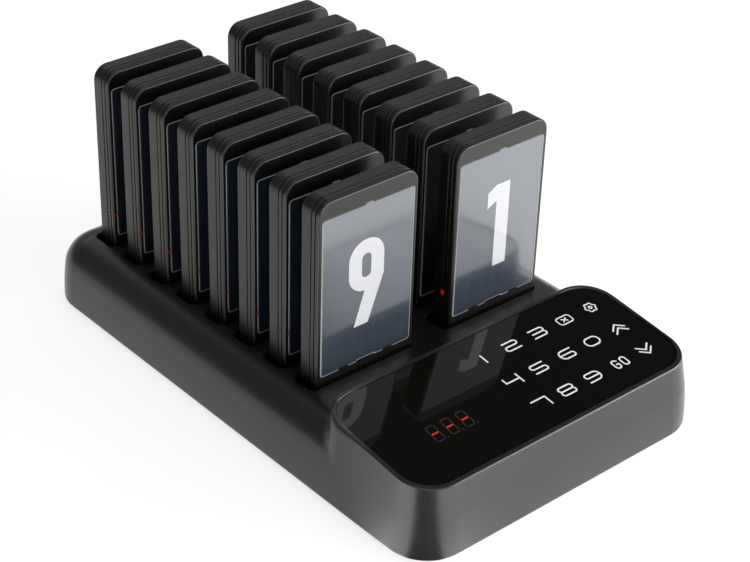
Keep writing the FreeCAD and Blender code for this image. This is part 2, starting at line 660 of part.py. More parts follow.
def base_bottom_cover():
    inset = SHELL_WALL + COVER_GAP
    plate = rounded_block(BASE_WIDTH - 2 * inset, BASE_LENGTH - 2 * inset,
                          BASE_CORNER_RADIUS - inset, SHELL_BOTTOM, COVER_TOP)
    posts = [plate]
    for x, y in board_screw_places():
        posts.append(rod(POST_RADIUS, V(x, y, SHELL_BOTTOM), V(x, y, BOARD_BOTTOM)))
    for x in COLUMNS:
        for side in (-1, 1):
            post_x = x + side * (CHARGING_BOARD_WIDTH / 2 - BOARD_SCREW_INSET)
            post_y = CHARGING_BOARD_REAR - BOARD_SCREW_INSET
            posts.append(rod(POST_RADIUS, V(post_x, post_y, SHELL_BOTTOM), V(post_x, post_y, BOARD_BOTTOM)))
    cradle_top = INLET_Z - INLET_BODY_WIDTH / 2
    posts.append(box(INLET_BODY_WIDTH, INLET_BODY_DEPTH, cradle_top - SHELL_BOTTOM, 0,
                     inlet_rear() - INLET_BODY_DEPTH / 2, SHELL_BOTTOM))
    cutters = []
    for x, y in case_screw_places():
        cutters.append(rod(CASE_SCREW_RADIUS + CASE_SCREW_PASS, V(x, y, 0), V(x, y, COVER_TOP + OVERCUT)))
        cutters.append(rod(CASE_SCREW_HEAD_RADIUS + COVER_GAP, V(x, y, 0),
                           V(x, y, SHELL_BOTTOM + CASE_SCREW_HEAD_HEIGHT)))
    for x, y in board_screw_places():
        cutters.append(rod(BOARD_SCREW_RADIUS + SCREW_GAP, V(x, y, BOARD_TOP - BOARD_SCREW_LENGTH),
                           V(x, y, BOARD_TOP)))
    for x, y in foot_places():
        cutters.append(rod(FOOT_RADIUS + SCREW_GAP, V(x, y, 0), V(x, y, SHELL_BOTTOM + FOOT_SEAT)))
    return fused(posts).cut(cutters)


def rubber_feet():
    feet = []
    for x, y in foot_places():
        foot = rod(FOOT_RADIUS, V(x, y, 0), V(x, y, SHELL_BOTTOM + FOOT_SEAT))
        sole = edges_in_plane(foot, lambda point: point.z)
        feet.append(foot.makeFillet(FOOT_EDGE_RADIUS, sole))
    return Part.makeCompound(feet)


def pan_screw(radius, length, head_radius, head_height):
    """A screw that points up +Z, with the underside of its head at the origin."""
    head = rod(head_radius, V(0, 0, -head_height), V(0, 0, 0))
    head = head.makeFillet(head_height / 3, edges_in_plane(head, lambda point: point.z + head_height))
    shank = rod(radius, V(0, 0, 0), V(0, 0, length))
    span = 2 * head_radius * DRIVE_SPAN
    width = head_radius * DRIVE_WIDTH
    across = box(span, width, head_height / 2, 0, 0, -head_height)
    along = box(width, span, head_height / 2, 0, 0, -head_height)
    return fused([head, shank]).cut([across, along])


def case_screws():
    screw = pan_screw(CASE_SCREW_RADIUS, CASE_SCREW_LENGTH, CASE_SCREW_HEAD_RADIUS, CASE_SCREW_HEAD_HEIGHT)
    seat = SHELL_BOTTOM + CASE_SCREW_HEAD_HEIGHT
    return Part.makeCompound([moved(screw, x, y, seat) for x, y in case_screw_places()])


def board_screws():
    screw = pan_screw(BOARD_SCREW_RADIUS, BOARD_SCREW_LENGTH, BOARD_SCREW_HEAD_RADIUS,
                      BOARD_SCREW_HEAD_HEIGHT)
    screw.rotate(V(0, 0, 0), V(1, 0, 0), 180)
    return Part.makeCompound([moved(screw, x, y, BOARD_TOP) for x, y in board_screw_places()])


def power_inlet():
    """A barrel socket on the cover's cradle, its nose in the rear wall."""
    body_rear = inlet_rear()
    mouth = BASE_LENGTH / 2 - wall_inset(0.0, INLET_Z - WIDEST) - COVER_GAP
    body = box(INLET_BODY_WIDTH, INLET_BODY_DEPTH, INLET_BODY_WIDTH, 0,
               body_rear - INLET_BODY_DEPTH / 2, INLET_Z - INLET_BODY_WIDTH / 2)
    nose = rod(INLET_NOSE_RADIUS, V(0, body_rear - OVERCUT, INLET_Z), V(0, mouth, INLET_Z))
    bore_end = mouth - INLET_BORE_DEPTH
    bore = rod(INLET_BORE_RADIUS, V(0, bore_end, INLET_Z), V(0, mouth + OVERCUT, INLET_Z))
    pin = rod(INLET_PIN_RADIUS, V(0, bore_end - OVERCUT, INLET_Z), V(0, bore_end + INLET_PIN_LENGTH, INLET_Z))
    return fused([fused([body, nose]).cut(bore), pin])


# ---------------------------------------------------------------- pager
# Pager pieces are drawn about x = 0, with the face at y = 0 and the lower end at z = 0.
def pager_layer(inset, front, back):
    """A layer of the case outline, inset all round."""
    return slab(PAGER_WIDTH - 2 * inset, PAGER_HEIGHT - 2 * inset, PAGER_CORNER_RADIUS - inset,
                front, back, PAGER_HEIGHT / 2)


def rounded_at(shape, depth, radius):
    """Rounds the rim of a layer that lies at one depth behind the face."""
    return shape.makeFillet(radius, edges_in_plane(shape, lambda point: point.y - depth))


def pager_boss_places():
    x = PAGER_WIDTH / 2 - CASE_BOSS_INSET
    return [(sx * x, z) for sx in (-1, 1) for z in (CASE_BOSS_INSET, PAGER_HEIGHT - CASE_BOSS_INSET)]


def window_outline(gap, front, back):
    """The window's plate with its finger tab and snap notches, shrunk by gap."""
    centre = WINDOW_BOTTOM + WINDOW_HEIGHT / 2
    plate = slab(WINDOW_WIDTH - 2 * gap, WINDOW_HEIGHT - 2 * gap, WINDOW_CORNER_RADIUS - gap,
                 front, back, centre)
    tab_base = WINDOW_BOTTOM + WINDOW_HEIGHT - gap - TAB_HEIGHT
    middle = (front + back) / 2
    tab = box(TAB_WIDTH - 2 * gap, back - front, 2 * TAB_HEIGHT, 0, middle, tab_base)
    notches = []
    for side in (-1, 1):
        notches.append(box(NOTCH_WIDTH + 2 * gap, back - front, 2 * (NOTCH_DEPTH + gap),
                           side * NOTCH_OFFSET, middle, WINDOW_BOTTOM - NOTCH_DEPTH - gap))
    return fused([plate, tab]).cut(notches)


def pager_front_shell():
    shell = rounded_at(pager_layer(0.0, 0.0, FRONT_SHELL_DEPTH), 0.0, FACE_EDGE_RADIUS)
    shell = rounded_at(shell, FRONT_SHELL_DEPTH, SEAM_EDGE_RADIUS)
    pocket_depth = WINDOW_THICKNESS - WINDOW_PROUD + CARD_THICKNESS
    shell = shell.cut(window_outline(0.0, -OVERCUT, pocket_depth))
    bosses = [shell]
    for x, z in pager_boss_places():
        bosses.append(rod(CASE_BOSS_RADIUS, V(x, pocket_depth, z), V(x, CASE_BOSS_JOINT, z)))
    shell = fused(bosses)
    screw_tip = PAGER_THICKNESS - PAGER_SCREW_HEAD_HEIGHT - PAGER_SCREW_LENGTH - SCREW_GAP
    holes = [rod(PAGER_SCREW_RADIUS + SCREW_GAP, V(x, screw_tip, z), V(x, CASE_BOSS_JOINT + OVERCUT, z))
             for x, z in pager_boss_places()]
    return shell.cut(holes)


def pager_light_band():
    front = FRONT_SHELL_DEPTH + GROOVE_WIDTH
    rim = pager_layer(0.0, front, front + BAND_DEPTH)
    rim = rounded_at(rim, front, SEAM_EDGE_RADIUS)
    rim = rounded_at(rim, front + BAND_DEPTH, SEAM_EDGE_RADIUS)
    core = pager_layer(GROOVE_DEPTH, FRONT_SHELL_DEPTH, REAR_SHELL_FRONT)
    hollow = pager_layer(BAND_INNER_INSET, 0.0, PAGER_THICKNESS)
    return fused([rim, core]).cut(hollow)


def contact_places():
    return [side * CONTACT_OFFSET for side in (-1, 1)]


def pager_rear_shell():
    shell = pager_layer(0.0, REAR_SHELL_FRONT, PAGER_THICKNESS)
    shell = rounded_at(shell, PAGER_THICKNESS, BACK_EDGE_RADIUS)
    shell = rounded_at(shell, REAR_SHELL_FRONT, SEAM_EDGE_RADIUS)
    inner_back = PAGER_THICKNESS - CASE_WALL
    shell = shell.cut(pager_layer(CASE_WALL, 0.0, inner_back))
    bosses = [shell]
    joint = CASE_BOSS_JOINT + SCREW_GAP
    for x, z in pager_boss_places():
        bosses.append(rod(CASE_BOSS_RADIUS, V(x, joint, z), V(x, inner_back, z)))
    shell = fused(bosses)
    cutters = []
    seat = PAGER_THICKNESS - PAGER_SCREW_HEAD_HEIGHT
    for x, z in pager_boss_places():
        cutters.append(rod(PAGER_SCREW_RADIUS + SCREW_GAP, V(x, 0, z), V(x, PAGER_THICKNESS + OVERCUT, z)))
        cutters.append(rod(PAGER_SCREW_HEAD_RADIUS + SCREW_GAP, V(x, seat, z),
                           V(x, PAGER_THICKNESS + OVERCUT, z)))
    for x in contact_places():
        cutters.append(box(CONTACT_WIDTH + 2 * CONTACT_GAP, CONTACT_DEPTH + 2 * CONTACT_GAP,
                           2 * CASE_WALL, x, CONTACT_SETBACK, -CASE_WALL))
    return shell.cut(cutters)


def pager_window():
    back = WINDOW_THICKNESS - WINDOW_PROUD
    window = window_outline(WINDOW_GAP, -WINDOW_PROUD, back)
    window = window.cut(box(PRY_WIDTH, BIG, 2 * PRY_DEPTH, 0, 0, WINDOW_BOTTOM - PRY_DEPTH))
    front_edges = edges_in_plane(window, lambda point: point.y + WINDOW_PROUD)
    return window.makeChamfer(WINDOW_BEVEL, front_edges)


def pager_number_card():
    front = WINDOW_THICKNESS - WINDOW_PROUD
    margin = WINDOW_GAP + NOTCH_DEPTH
    centre = WINDOW_BOTTOM + WINDOW_HEIGHT / 2
    return slab(WINDOW_WIDTH - 2 * WINDOW_GAP, WINDOW_HEIGHT - 2 * margin, WINDOW_CORNER_RADIUS,
                front, front + CARD_THICKNESS, centre)


BOARD_FACE = FRONT_SHELL_DEPTH + PAGER_BOARD_GAP
BOARD_REAR = BOARD_FACE + PAGER_BOARD_THICKNESS


def pager_circuit_board():
    return slab(PAGER_BOARD_WIDTH, PAGER_BOARD_HEIGHT, CASE_WALL, BOARD_FACE, BOARD_REAR, PAGER_HEIGHT / 2)


def pager_battery():
    front = BOARD_REAR + PAD_DEPTH
    cell = slab(BATTERY_WIDTH, BATTERY_HEIGHT, 2 * BATTERY_EDGE_RADIUS, front, front + BATTERY_DEPTH,
                BATTERY_CENTRE)
    return rounded_at(cell, front + BATTERY_DEPTH, BATTERY_EDGE_RADIUS)


def pager_vibration_motor():
    start = V(MOTOR_X, BOARD_REAR, MOTOR_CENTRE)
    return rod(MOTOR_RADIUS, start, start + V(0, MOTOR_DEPTH, 0))


def pager_sounder():
    block = box(PAGER_SOUNDER_SIZE, PAGER_SOUNDER_DEPTH, PAGER_SOUNDER_SIZE, PAGER_SOUNDER_X,
                BOARD_REAR + PAGER_SOUNDER_DEPTH / 2, MOTOR_CENTRE - PAGER_SOUNDER_SIZE / 2)
    port_start = V(PAGER_SOUNDER_X, BOARD_REAR + PAGER_SOUNDER_DEPTH / 2, MOTOR_CENTRE)
    port = rod(PAGER_SOUNDER_PORT_RADIUS, port_start, port_start + V(0, PAGER_SOUNDER_DEPTH, 0))
    return block.cut(port)


def pager_leds():
    x = (PAGER_BOARD_WIDTH - LED_WIDTH) / 2
    lamps = []
    for side in (-1, 1):
        for z in LED_HEIGHTS:
            lamps.append(box(LED_WIDTH, LED_DEPTH, LED_LENGTH, side * x, BOARD_REAR + LED_DEPTH / 2,
                             z - LED_LENGTH / 2))
    return Part.makeCompound(lamps)


def pager_contacts():
    plates = [box(CONTACT_WIDTH, CONTACT_DEPTH, CONTACT_HEIGHT, x, CONTACT_SETBACK, CONTACT_RECESS)
              for x in contact_places()]
    return Part.makeCompound(plates)


def pager_screws():
    screw = pan_screw(PAGER_SCREW_RADIUS, PAGER_SCREW_LENGTH, PAGER_SCREW_HEAD_RADIUS,
                      PAGER_SCREW_HEAD_HEIGHT)
    screw.rotate(V(0, 0, 0), V(1, 0, 0), 90)
    seat = PAGER_THICKNESS - PAGER_SCREW_HEAD_HEIGHT
    return Part.makeCompound([moved(screw, x, seat, z) for x, z in pager_boss_places()])


PAGER_PIECES = {
    "rear_shell": pager_rear_shell,
    "light_band": pager_light_band,
    "front_shell": pager_front_shell,
    "circuit_board": pager_circuit_board,
    "battery": pager_battery,
    "vibration_motor": pager_vibration_motor,
    "sounder": pager_sounder,
    "light_leds": pager_leds,
    "charge_contacts": pager_contacts,
    "case_screws": pager_screws,
    "number_card": pager_number_card,
    "window": pager_window,
}
CARD_AND_WINDOW = ("number_card", "window")

BASE_PIECES = {
    "base_top_shell": base_top_shell,
    "base_bottom_cover": base_bottom_cover,
    "keypad_panel": keypad_panel,
    "touch_board": touch_board,
    "display_module": display_module,
    "slot_tray_right": lambda: slot_tray(COLUMNS[0]),
    "slot_tray_left": lambda: slot_tray(COLUMNS[1]),
    "charging_boards": charging_boards,
    "charging_pins": charging_pins,
    "main_board": main_board,
    "radio_module": radio_module,
    "antenna": antenna,
    "base_sounder": base_sounder,
    "ribbon_cables": ribbon_cables,
    "power_inlet": power_inlet,
    "rubber_feet": rubber_feet,
    "base_case_screws": case_screws,
    "board_screws": board_screws,
}


def write(node, shape):
    if not shape.isValid():
        print("not a valid shape:", node)
    shape.exportStep("parts/" + node + ".step")
    print(f"{node}: {len(shape.Solids)} solid(s), {shape.Volume / 1000:.2f} cm3")


def main():
    for node, make in BASE_PIECES.items():
        write(node, make())
    pieces = {name: make() for name, make in PAGER_PIECES.items()}
    for number, x, face in pager_places():
        placed = {name: moved(piece, x, face, PAGER_BOTTOM) for name, piece in pieces.items()}
        tag = f"pager_{number:02d}_"
        if number == 1:
            for name, piece in placed.items():
                write(tag + name, piece)
        else:
            case = [piece for name, piece in placed.items() if name not in CARD_AND_WINDOW]
            write(tag + "case", Part.makeCompound(case))
            write(tag + "window", Part.makeCompound([placed[name] for name in CARD_AND_WINDOW]))


main()
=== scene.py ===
import math

import bmesh
import bpy
import numpy as np
from mathutils import Matrix, Vector


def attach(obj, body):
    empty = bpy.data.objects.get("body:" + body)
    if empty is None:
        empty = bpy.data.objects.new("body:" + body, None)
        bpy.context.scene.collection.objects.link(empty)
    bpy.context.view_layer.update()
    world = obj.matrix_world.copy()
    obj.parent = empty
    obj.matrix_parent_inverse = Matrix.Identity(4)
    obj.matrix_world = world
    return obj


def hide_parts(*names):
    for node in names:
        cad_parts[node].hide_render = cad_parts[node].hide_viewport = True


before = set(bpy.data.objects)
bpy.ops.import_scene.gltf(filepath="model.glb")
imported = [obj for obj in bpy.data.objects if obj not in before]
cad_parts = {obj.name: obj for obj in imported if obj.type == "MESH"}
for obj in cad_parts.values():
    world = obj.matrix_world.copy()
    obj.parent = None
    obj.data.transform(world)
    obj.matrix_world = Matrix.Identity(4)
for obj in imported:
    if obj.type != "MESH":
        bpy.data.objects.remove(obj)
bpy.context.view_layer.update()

MM = 0.001
SCENE = bpy.context.scene

# Base, in millimetres, as in the part's source. Heights are above the counter
DESK_TILT = math.radians(7.0)
DESK_FRONT = (-131.65, 34.75)       # y and z of the rim plane's front edge
PANEL_RECESS = 0.4
ROW_COUNT = 8
ROW_PITCH = 21.5
FIRST_FACE = -45.8
PAGER_BOTTOM = 18.3
COLUMNS = (38.0, -38.0)
PAGER_WIDTH = 54.0

# Pager window
WINDOW_WIDTH = 50.5
WINDOW_HEIGHT = 76.8
WINDOW_BOTTOM = PAGER_BOTTOM + 20.2
WINDOW_RADIUS = 1.8
WINDOW_PROUD = 0.15
WINDOW_DEPTH = 0.9
TAB = (4.8, 0.8)                    # finger tab at the top: width and height
TAB_SLOPE = 0.3                     # of the tab's ends
SNAP_NOTCH = (4.2, 0.8, 12.4)       # lower notches: width, depth and offset from the middle
PRY_NOTCH = (9.6, 0.7)              # in the middle of the lower edge: width and depth
NOTCH_SLOPE = 0.6                   # run of a notch's ends, of its depth
CORNER_STEPS = 7
BEVEL = 0.3
LIP = 0.38                          # strip of the flat, inside the bevel, that carries the painted highlight
BORDER = 1.1                        # from the bevel to the line round the card
BORDER_LINE = 0.14                  # each half of that line
GROOVE_SINK = 0.02                  # depth of its middle

# Numbers on the cards
NUMBER_HEIGHT = 41.7
NUMBER_WIDTH = 19.3
ONE_WIDTH = 13.1                    # the digit 1
NUMBER_BOTTOM = 57.0
NUMBER_SHIFT = -0.9                 # a number's middle is this far to the left
NUMBER_GAP = 2.6                    # between two digits
NUMBER_BOX = (-24, 24, -1, 43)      # drawn on: left, right, bottom and top
NUMBER_STEP = 0.25                  # of the grid that the outline is found on
NUMBER_LIFT = 0.002                 # in front of the window
NUMBER_THICKNESS = 0.02

# Charging lights, drawn as painted glow: behind the groove in each pager's sides and along the
# window's edges
LIGHT_HEIGHT = PAGER_BOTTOM + 32.0
LIGHT_GROOVE = 5.0                  # pager face to the middle of the rear groove
LIGHT_LIFT = 0.03                   # in front of the surface
LIGHT_THICKNESS = 0.01
LIGHT_STEP = 0.2
SIDE_OVAL = (2.0, 2.2)              # half width and half height
SIDE_BOX = (-2.2, 2.2, -2.4, 2.4)
FACE_OVAL = (1.3, 1.9)
FACE_BOX = (-1.5, 1.5, -2.1, 2.1)
FACE_OUT = 0.2                      # middle of the oval, outside the window's edge
BRIGHT_FROM = 5                     # place in the row, counted from 0, of the first bright one

# Keypad: half widths of the strokes, and the middles of the display's digits across and up the desk
LEGEND_STROKE = 0.39
FINE_STROKE = 0.33                  # of the gear and the boxed cross
LEGEND_BOX = (-5.2, 5.2, -4.0, 4.0)
LEGEND_THICKNESS = 0.03
KEYPAD_STEP = 0.1
KEYPAD_LIFT = 0.005                 # above the panel's face
DISPLAY_CENTRES = ((-50.3, 27.6), (-42.1, 27.65), (-33.8, 27.6))
DISPLAY_BOX = (-3.4, 4.4, -5.6, 5.6)
DISPLAY_THICKNESS = 0.02
SEGMENT_LEAN = math.radians(4.0)
SEGMENT_HALF_LENGTH, SEGMENT_HALF_WIDTH = 2.0, 0.42
SEGMENT_TIP = 2.08                  # half length to the points that a bar's ends would have
DIAGONAL = 0.7071
POINT_CENTRE, POINT_RADIUS = (3.55, -4.6), 0.5
SEGMENT_BARS = {                    # middle of each bar, and whether it stands upright
    "top": (0, 4.6, False), "middle": (0, 0, False), "low": (0, -4.6, False),
    "left_up": (-2.15, 2.3, True), "left_low": (-2.15, -2.3, True),
    "right_up": (2.15, 2.3, True), "right_low": (2.15, -2.3, True),
}

# Where a side of the desk meets the shoulder, in metres: the shading rounds the crease there, by
# the full radius up to half the reach and not at all beyond it
CREASE = (0.079, 0.074, 0.028)
CREASE_REACH = 0.026
CREASE_RADIUS = 0.005


# ------------------------------------------------------------------ materials
RANGE_SOCKETS = ("From Min", "From Max", "To Min", "To Max")


class Shader:
    """A node material with one Principled shader and short helpers to feed it."""

    def __init__(self, name, **inputs):
        self.material = bpy.data.materials.new(name)
        self.material.use_nodes = True
        self.tree = self.material.node_tree
        self.bsdf = self.tree.nodes["Principled BSDF"]
        for key, value in inputs.items():
            self.bsdf.inputs[key.replace("_", " ")].default_value = value

    def node(self, kind, **values):
        made = self.tree.nodes.new(kind)
        for key, value in values.items():
            setattr(made, key, value)
        return made

    def link(self, source, target):
        self.tree.links.new(source, target)

    def coordinates(self, stretch=(1, 1, 1)):
        place = self.node("ShaderNodeMapping")
        place.inputs["Scale"].default_value = stretch
        self.link(self.node("ShaderNodeTexCoord").outputs["Object"], place.inputs["Vector"])
        return place.outputs["Vector"]

    def noise(self, scale, detail=3.0, rough=0.55, stretch=(1, 1, 1)):
        made = self.node("ShaderNodeTexNoise")
        made.inputs["Scale"].default_value = scale
        made.inputs["Detail"].default_value = detail
        made.inputs["Roughness"].default_value = rough
        self.link(self.coordinates(stretch), made.inputs["Vector"])
        return made.outputs["Fac"]

    def remap(self, value, low, high, to_low, to_high):
        made = self.node("ShaderNodeMapRange")
        for key, limit in zip(RANGE_SOCKETS, (low, high, to_low, to_high)):
            made.inputs[key].default_value = limit
        self.link(value, made.inputs["Value"])
        return made.outputs["Result"]

    def tint(self, factor, dark, light):
        made = self.node("ShaderNodeMix", data_type="RGBA")
        made.inputs[6].default_value = (*dark, 1)
        made.inputs[7].default_value = (*light, 1)
        self.link(factor, made.inputs[0])
        return made.outputs[2]

    def feed(self, name, value):
        self.link(value, self.bsdf.inputs[name])

    def bump(self, height, distance):
        made = self.node("ShaderNodeBump")
        made.inputs["Strength"].default_value = 1.0
        made.inputs["Distance"].default_value = distance
        self.link(height, made.inputs["Height"])
        self.feed("Normal", made.outputs["Normal"])
        return made


def vector_math(tree, operation, source, value=None):
    """Outputs of a vector node that works on a socket, and on a plain value where it takes one."""
    made = tree.nodes.new("ShaderNodeVectorMath")
    made.operation = operation
    tree.links.new(source, made.inputs[0])
    if value is not None:
        made.inputs[1].default_value = value
    return made.outputs


def soften(made, relief, place, reach, radius):
    """Blends the surfaces that meet near a place, and near its mirror images, into one another."""
    mirrored = vector_math(made.tree, "ABSOLUTE", made.coordinates())["Vector"]
    offset = vector_math(made.tree, "SUBTRACT", mirrored, place)["Vector"]
    distance = vector_math(made.tree, "LENGTH", offset)["Value"]
    blend = made.node("ShaderNodeBevel", samples=8)
    made.link(made.remap(distance, reach / 2, reach, radius, 0.0), blend.inputs["Radius"])
    made.link(blend.outputs["Normal"], relief.inputs["Normal"])


MOTTLING = 0.12                     # how far a moulding's colour goes either way


def moulded(name, colour, roughness, ior=1.5, grain=2600.0, depth=0.000012, crease=None, **more):
    """Moulded plastic: fine grain, slight mottling and uneven sheen."""
    made = Shader(name, IOR=ior, **more)
    dark = tuple(c * (1 - MOTTLING) for c in colour)
    light = tuple(c * (1 + MOTTLING) for c in colour)
    made.feed("Base Color", made.tint(made.noise(38.0), dark, light))
    sheen = made.remap(made.noise(90.0, 4.0), 0.3, 0.7, roughness - 0.03, roughness + 0.03)
    made.feed("Roughness", sheen)
    relief = made.bump(made.noise(grain, 2.0), depth)
    if crease is not None:
        soften(made, relief, *crease)
    return made


def metal(name, colour, roughness, grain=1400.0, stretch=(1, 1, 1)):
    """Metal with fine grain, darker spots and uneven polish. stretch draws them out."""
    made = Shader(name, Metallic=1.0)
    dark = tuple(c * 0.8 for c in colour)
    made.feed("Base Color", made.tint(made.noise(240.0, stretch=stretch), dark, colour))
    polish = made.noise(grain, 3.0, stretch=stretch)
    made.feed("Roughness", made.remap(polish, 0.3, 0.7, roughness - 0.07, roughness + 0.1))
    made.bump(made.noise(grain, 2.0, stretch=stretch), 0.00001)
    return made


def board(name):
    """Circuit board: green mask with paler traces."""
    made = Shader(name, Roughness=0.32, IOR=1.5)
    traces = made.node("ShaderNodeTexBrick")
    traces.inputs["Scale"].default_value = 260.0
    traces.inputs["Color1"].default_value = (0.015, 0.09, 0.035, 1)
    traces.inputs["Color2"].default_value = (0.02, 0.12, 0.045, 1)
    traces.inputs["Mortar"].default_value = (0.05, 0.2, 0.08, 1)
    traces.inputs["Mortar Size"].default_value = 0.03
    made.link(made.coordinates(), traces.inputs["Vector"])
    made.feed("Base Color", traces.outputs["Color"])
    made.bump(traces.outputs["Fac"], 0.00002)
    return made


def panel_gloss(name):
    """Polished black panel with faint smears and a few specks of dust."""
    made = Shader(name, IOR=1.5)
    specks = made.remap(made.noise(620.0, 1.0), 0.79, 0.83, 0.0, 1.0)
    made.feed("Base Color", made.tint(specks, (0.0062, 0.0062, 0.0046), (0.022, 0.022, 0.02)))
    smears = made.noise(30.0, 5.0, stretch=(1, 2.2, 1))
    made.feed("Roughness", made.remap(smears, 0.35, 0.75, 0.02, 0.055))
    return made


def card_face(name):
    """Dark blue card seen through the clear window, with faint streaks in its gloss."""
    made = Shader(name, IOR=1.9, Coat_Weight=1.0, Coat_Roughness=0.11, Coat_IOR=2.05)
    cloud = made.noise(22.0, 3.0)
    made.feed("Base Color", made.tint(cloud, (0.020, 0.035, 0.060), (0.028, 0.044, 0.071)))
    streaks = made.noise(150.0, 5.0, 0.7, stretch=(5.0, 1.0, 0.35))
    made.feed("Roughness", made.remap(streaks, 0.3, 0.75, 0.34, 0.5))
    made.bump(made.noise(60.0, 2.0), 0.000004)
    return made


def clear_edge(name, dark, light, glow):
    """The window's own plastic at its edges: the glow is a painted highlight, an emission in place
    of light caught in the edge.
    """
    made = Shader(name, IOR=1.5, Coat_Weight=0.6, Coat_Roughness=0.05)
    made.feed("Base Color", made.tint(made.noise(160.0), dark, light))
    # painted highlight: the emission makes the edges glow
    made.bsdf.inputs["Emission Color"].default_value = (0.95, 0.95, 1.0, 1)
    made.bsdf.inputs["Emission Strength"].default_value = glow
    made.feed("Roughness", made.remap(made.noise(700.0), 0.3, 0.7, 0.12, 0.26))
    return made


def printed_white(name):
    """White number under the clear window."""
    made = Shader(name, IOR=1.5, Coat_Weight=1.0, Coat_Roughness=0.02)
    made.feed("Base Color", made.tint(made.noise(300.0), (0.84, 0.85, 0.89), (0.90, 0.905, 0.94)))
    made.feed("Roughness", made.remap(made.noise(900.0), 0.3, 0.7, 0.34, 0.46))
    return made


def glowing(name, colour, glow, strength, base=(0.02, 0.02, 0.02), uneven=0.15):
    """A lit legend, segment or lens, a little uneven across its face. The unlit segments use it
    too, as a painted glow.
    """
    made = Shader(name, Roughness=0.3)
    made.bsdf.inputs["Emission Strength"].default_value = strength
    spots = made.noise(420.0, 2.0)
    made.feed("Base Color", made.tint(spots, base, colour))
    made.feed("Emission Color", made.tint(spots, tuple(c * (1 - uneven) for c in glow), glow))
    return made


def leaking_light(name, strength, axes, cover):
    """Painted glow of the light that leaks out of the case: full in the middle of the piece and
    clear at its rim.

    axes is 1 for the two axes that the piece is flat in, and 0 for its thickness."""
    made = Shader(name, Roughness=0.4)
    made.bsdf.inputs["Emission Color"].default_value = (1.0, 0.03, 0.02, 1)
    place = made.node("ShaderNodeTexCoord").outputs["Generated"]
    centred = vector_math(made.tree, "SUBTRACT", place, (0.5, 0.5, 0.5))["Vector"]
    flat = vector_math(made.tree, "MULTIPLY", centred, axes)["Vector"]
    distance = vector_math(made.tree, "LENGTH", flat)["Value"]
    made.feed("Base Color", made.tint(made.noise(300.0), (0.03, 0.004, 0.004), (0.08, 0.01, 0.01)))
    made.feed("Emission Strength", made.remap(distance, 0.0, 0.45, strength, 0.0))
    made.feed("Alpha", made.remap(distance, 0.1, 0.48, cover, 0.0))
    return made


WARM = (1.0, 0.985, 0.94, 1.0)
SHELL = moulded("satin_shell", (0.016, 0.016, 0.0155), 0.30, ior=1.62, Specular_Tint=WARM,
                crease=(CREASE, CREASE_REACH, CREASE_RADIUS))
PAGER = moulded("satin_pager", (0.014, 0.014, 0.0134), 0.29, ior=1.52, Specular_Tint=WARM)
BLACK = moulded("black_moulding", (0.012, 0.012, 0.012), 0.5)
UNDERSIDE = moulded("textured_underside", (0.016, 0.016, 0.016), 0.6, grain=1500.0, depth=0.00004)
RUBBER = moulded("foot_rubber", (0.012, 0.012, 0.012), 0.8, grain=1100.0, depth=0.00004)
INLET = moulded("inlet_black", (0.012, 0.012, 0.012), 0.3)
RIBBON = moulded("flat_cable", (0.32, 0.32, 0.33), 0.5)
PANEL = panel_gloss("touch_panel_gloss")
BOARD = board("solder_mask")
GOLD = metal("gold_contacts", (0.83, 0.62, 0.26), 0.24)
STEEL = metal("zinc_screws", (0.42, 0.42, 0.44), 0.3)
TIN = metal("tinned_can", (0.6, 0.6, 0.6), 0.3, stretch=(4, 1, 1))
COPPER = metal("lacquered_wire", (0.7, 0.38, 0.2), 0.3)
FOIL = metal("battery_foil", (0.68, 0.68, 0.7), 0.35, grain=700.0)
CARD = card_face("window_over_card")
# Window edges: a painted highlight on the front pagers, and a darker copy with less glow, painted
# shade, on the pagers behind them
EDGE_PAINTED_HIGHLIGHT = clear_edge("window_edges_painted_highlight", (0.12, 0.12, 0.122), (0.2, 0.2, 0.205), 0.19)
EDGE_PAINTED_SHADE = clear_edge("window_edges_painted_shade", (0.06, 0.06, 0.062), (0.11, 0.11, 0.114), 0.04)
NUMBER = printed_white("number_white")
LEGEND = glowing("legend_light", (0.7, 0.7, 0.7), (0.93, 0.93, 0.92), 0.52,
                 base=(0.5, 0.5, 0.5), uneven=0.06)
SEGMENT_ON = glowing("segment_lit", (0.5, 0.01, 0.01), (1.0, 0.02, 0.02), 0.66)
# painted glow: the unlit segments give off a faint red light although they are off
SEGMENT_OFF = glowing("segment_off_painted_glow", (0.03, 0.012, 0.01), (0.06, 0.012, 0.008), 0.12)
LED_GLOW = glowing("led_glow", (0.3, 0.02, 0.02), (1.0, 0.03, 0.02), 0.7)
# painted glow of the charging lights: full on pager 1's sides and faint on the others; on the
# windows' edges, full in the rear rows and faint further forward
SIDE_LIGHT = leaking_light("side_light", 0.42, (0, 1, 1), 0.7)
SIDE_LIGHT_FAINT = leaking_light("side_light_faint", 0.14, (0, 1, 1), 0.2)
EDGE_LIGHT = leaking_light("edge_light", 0.30, (1, 0, 1), 0.55)
EDGE_LIGHT_FAINT = leaking_light("edge_light_faint", 0.14, (1, 0, 1), 0.35)

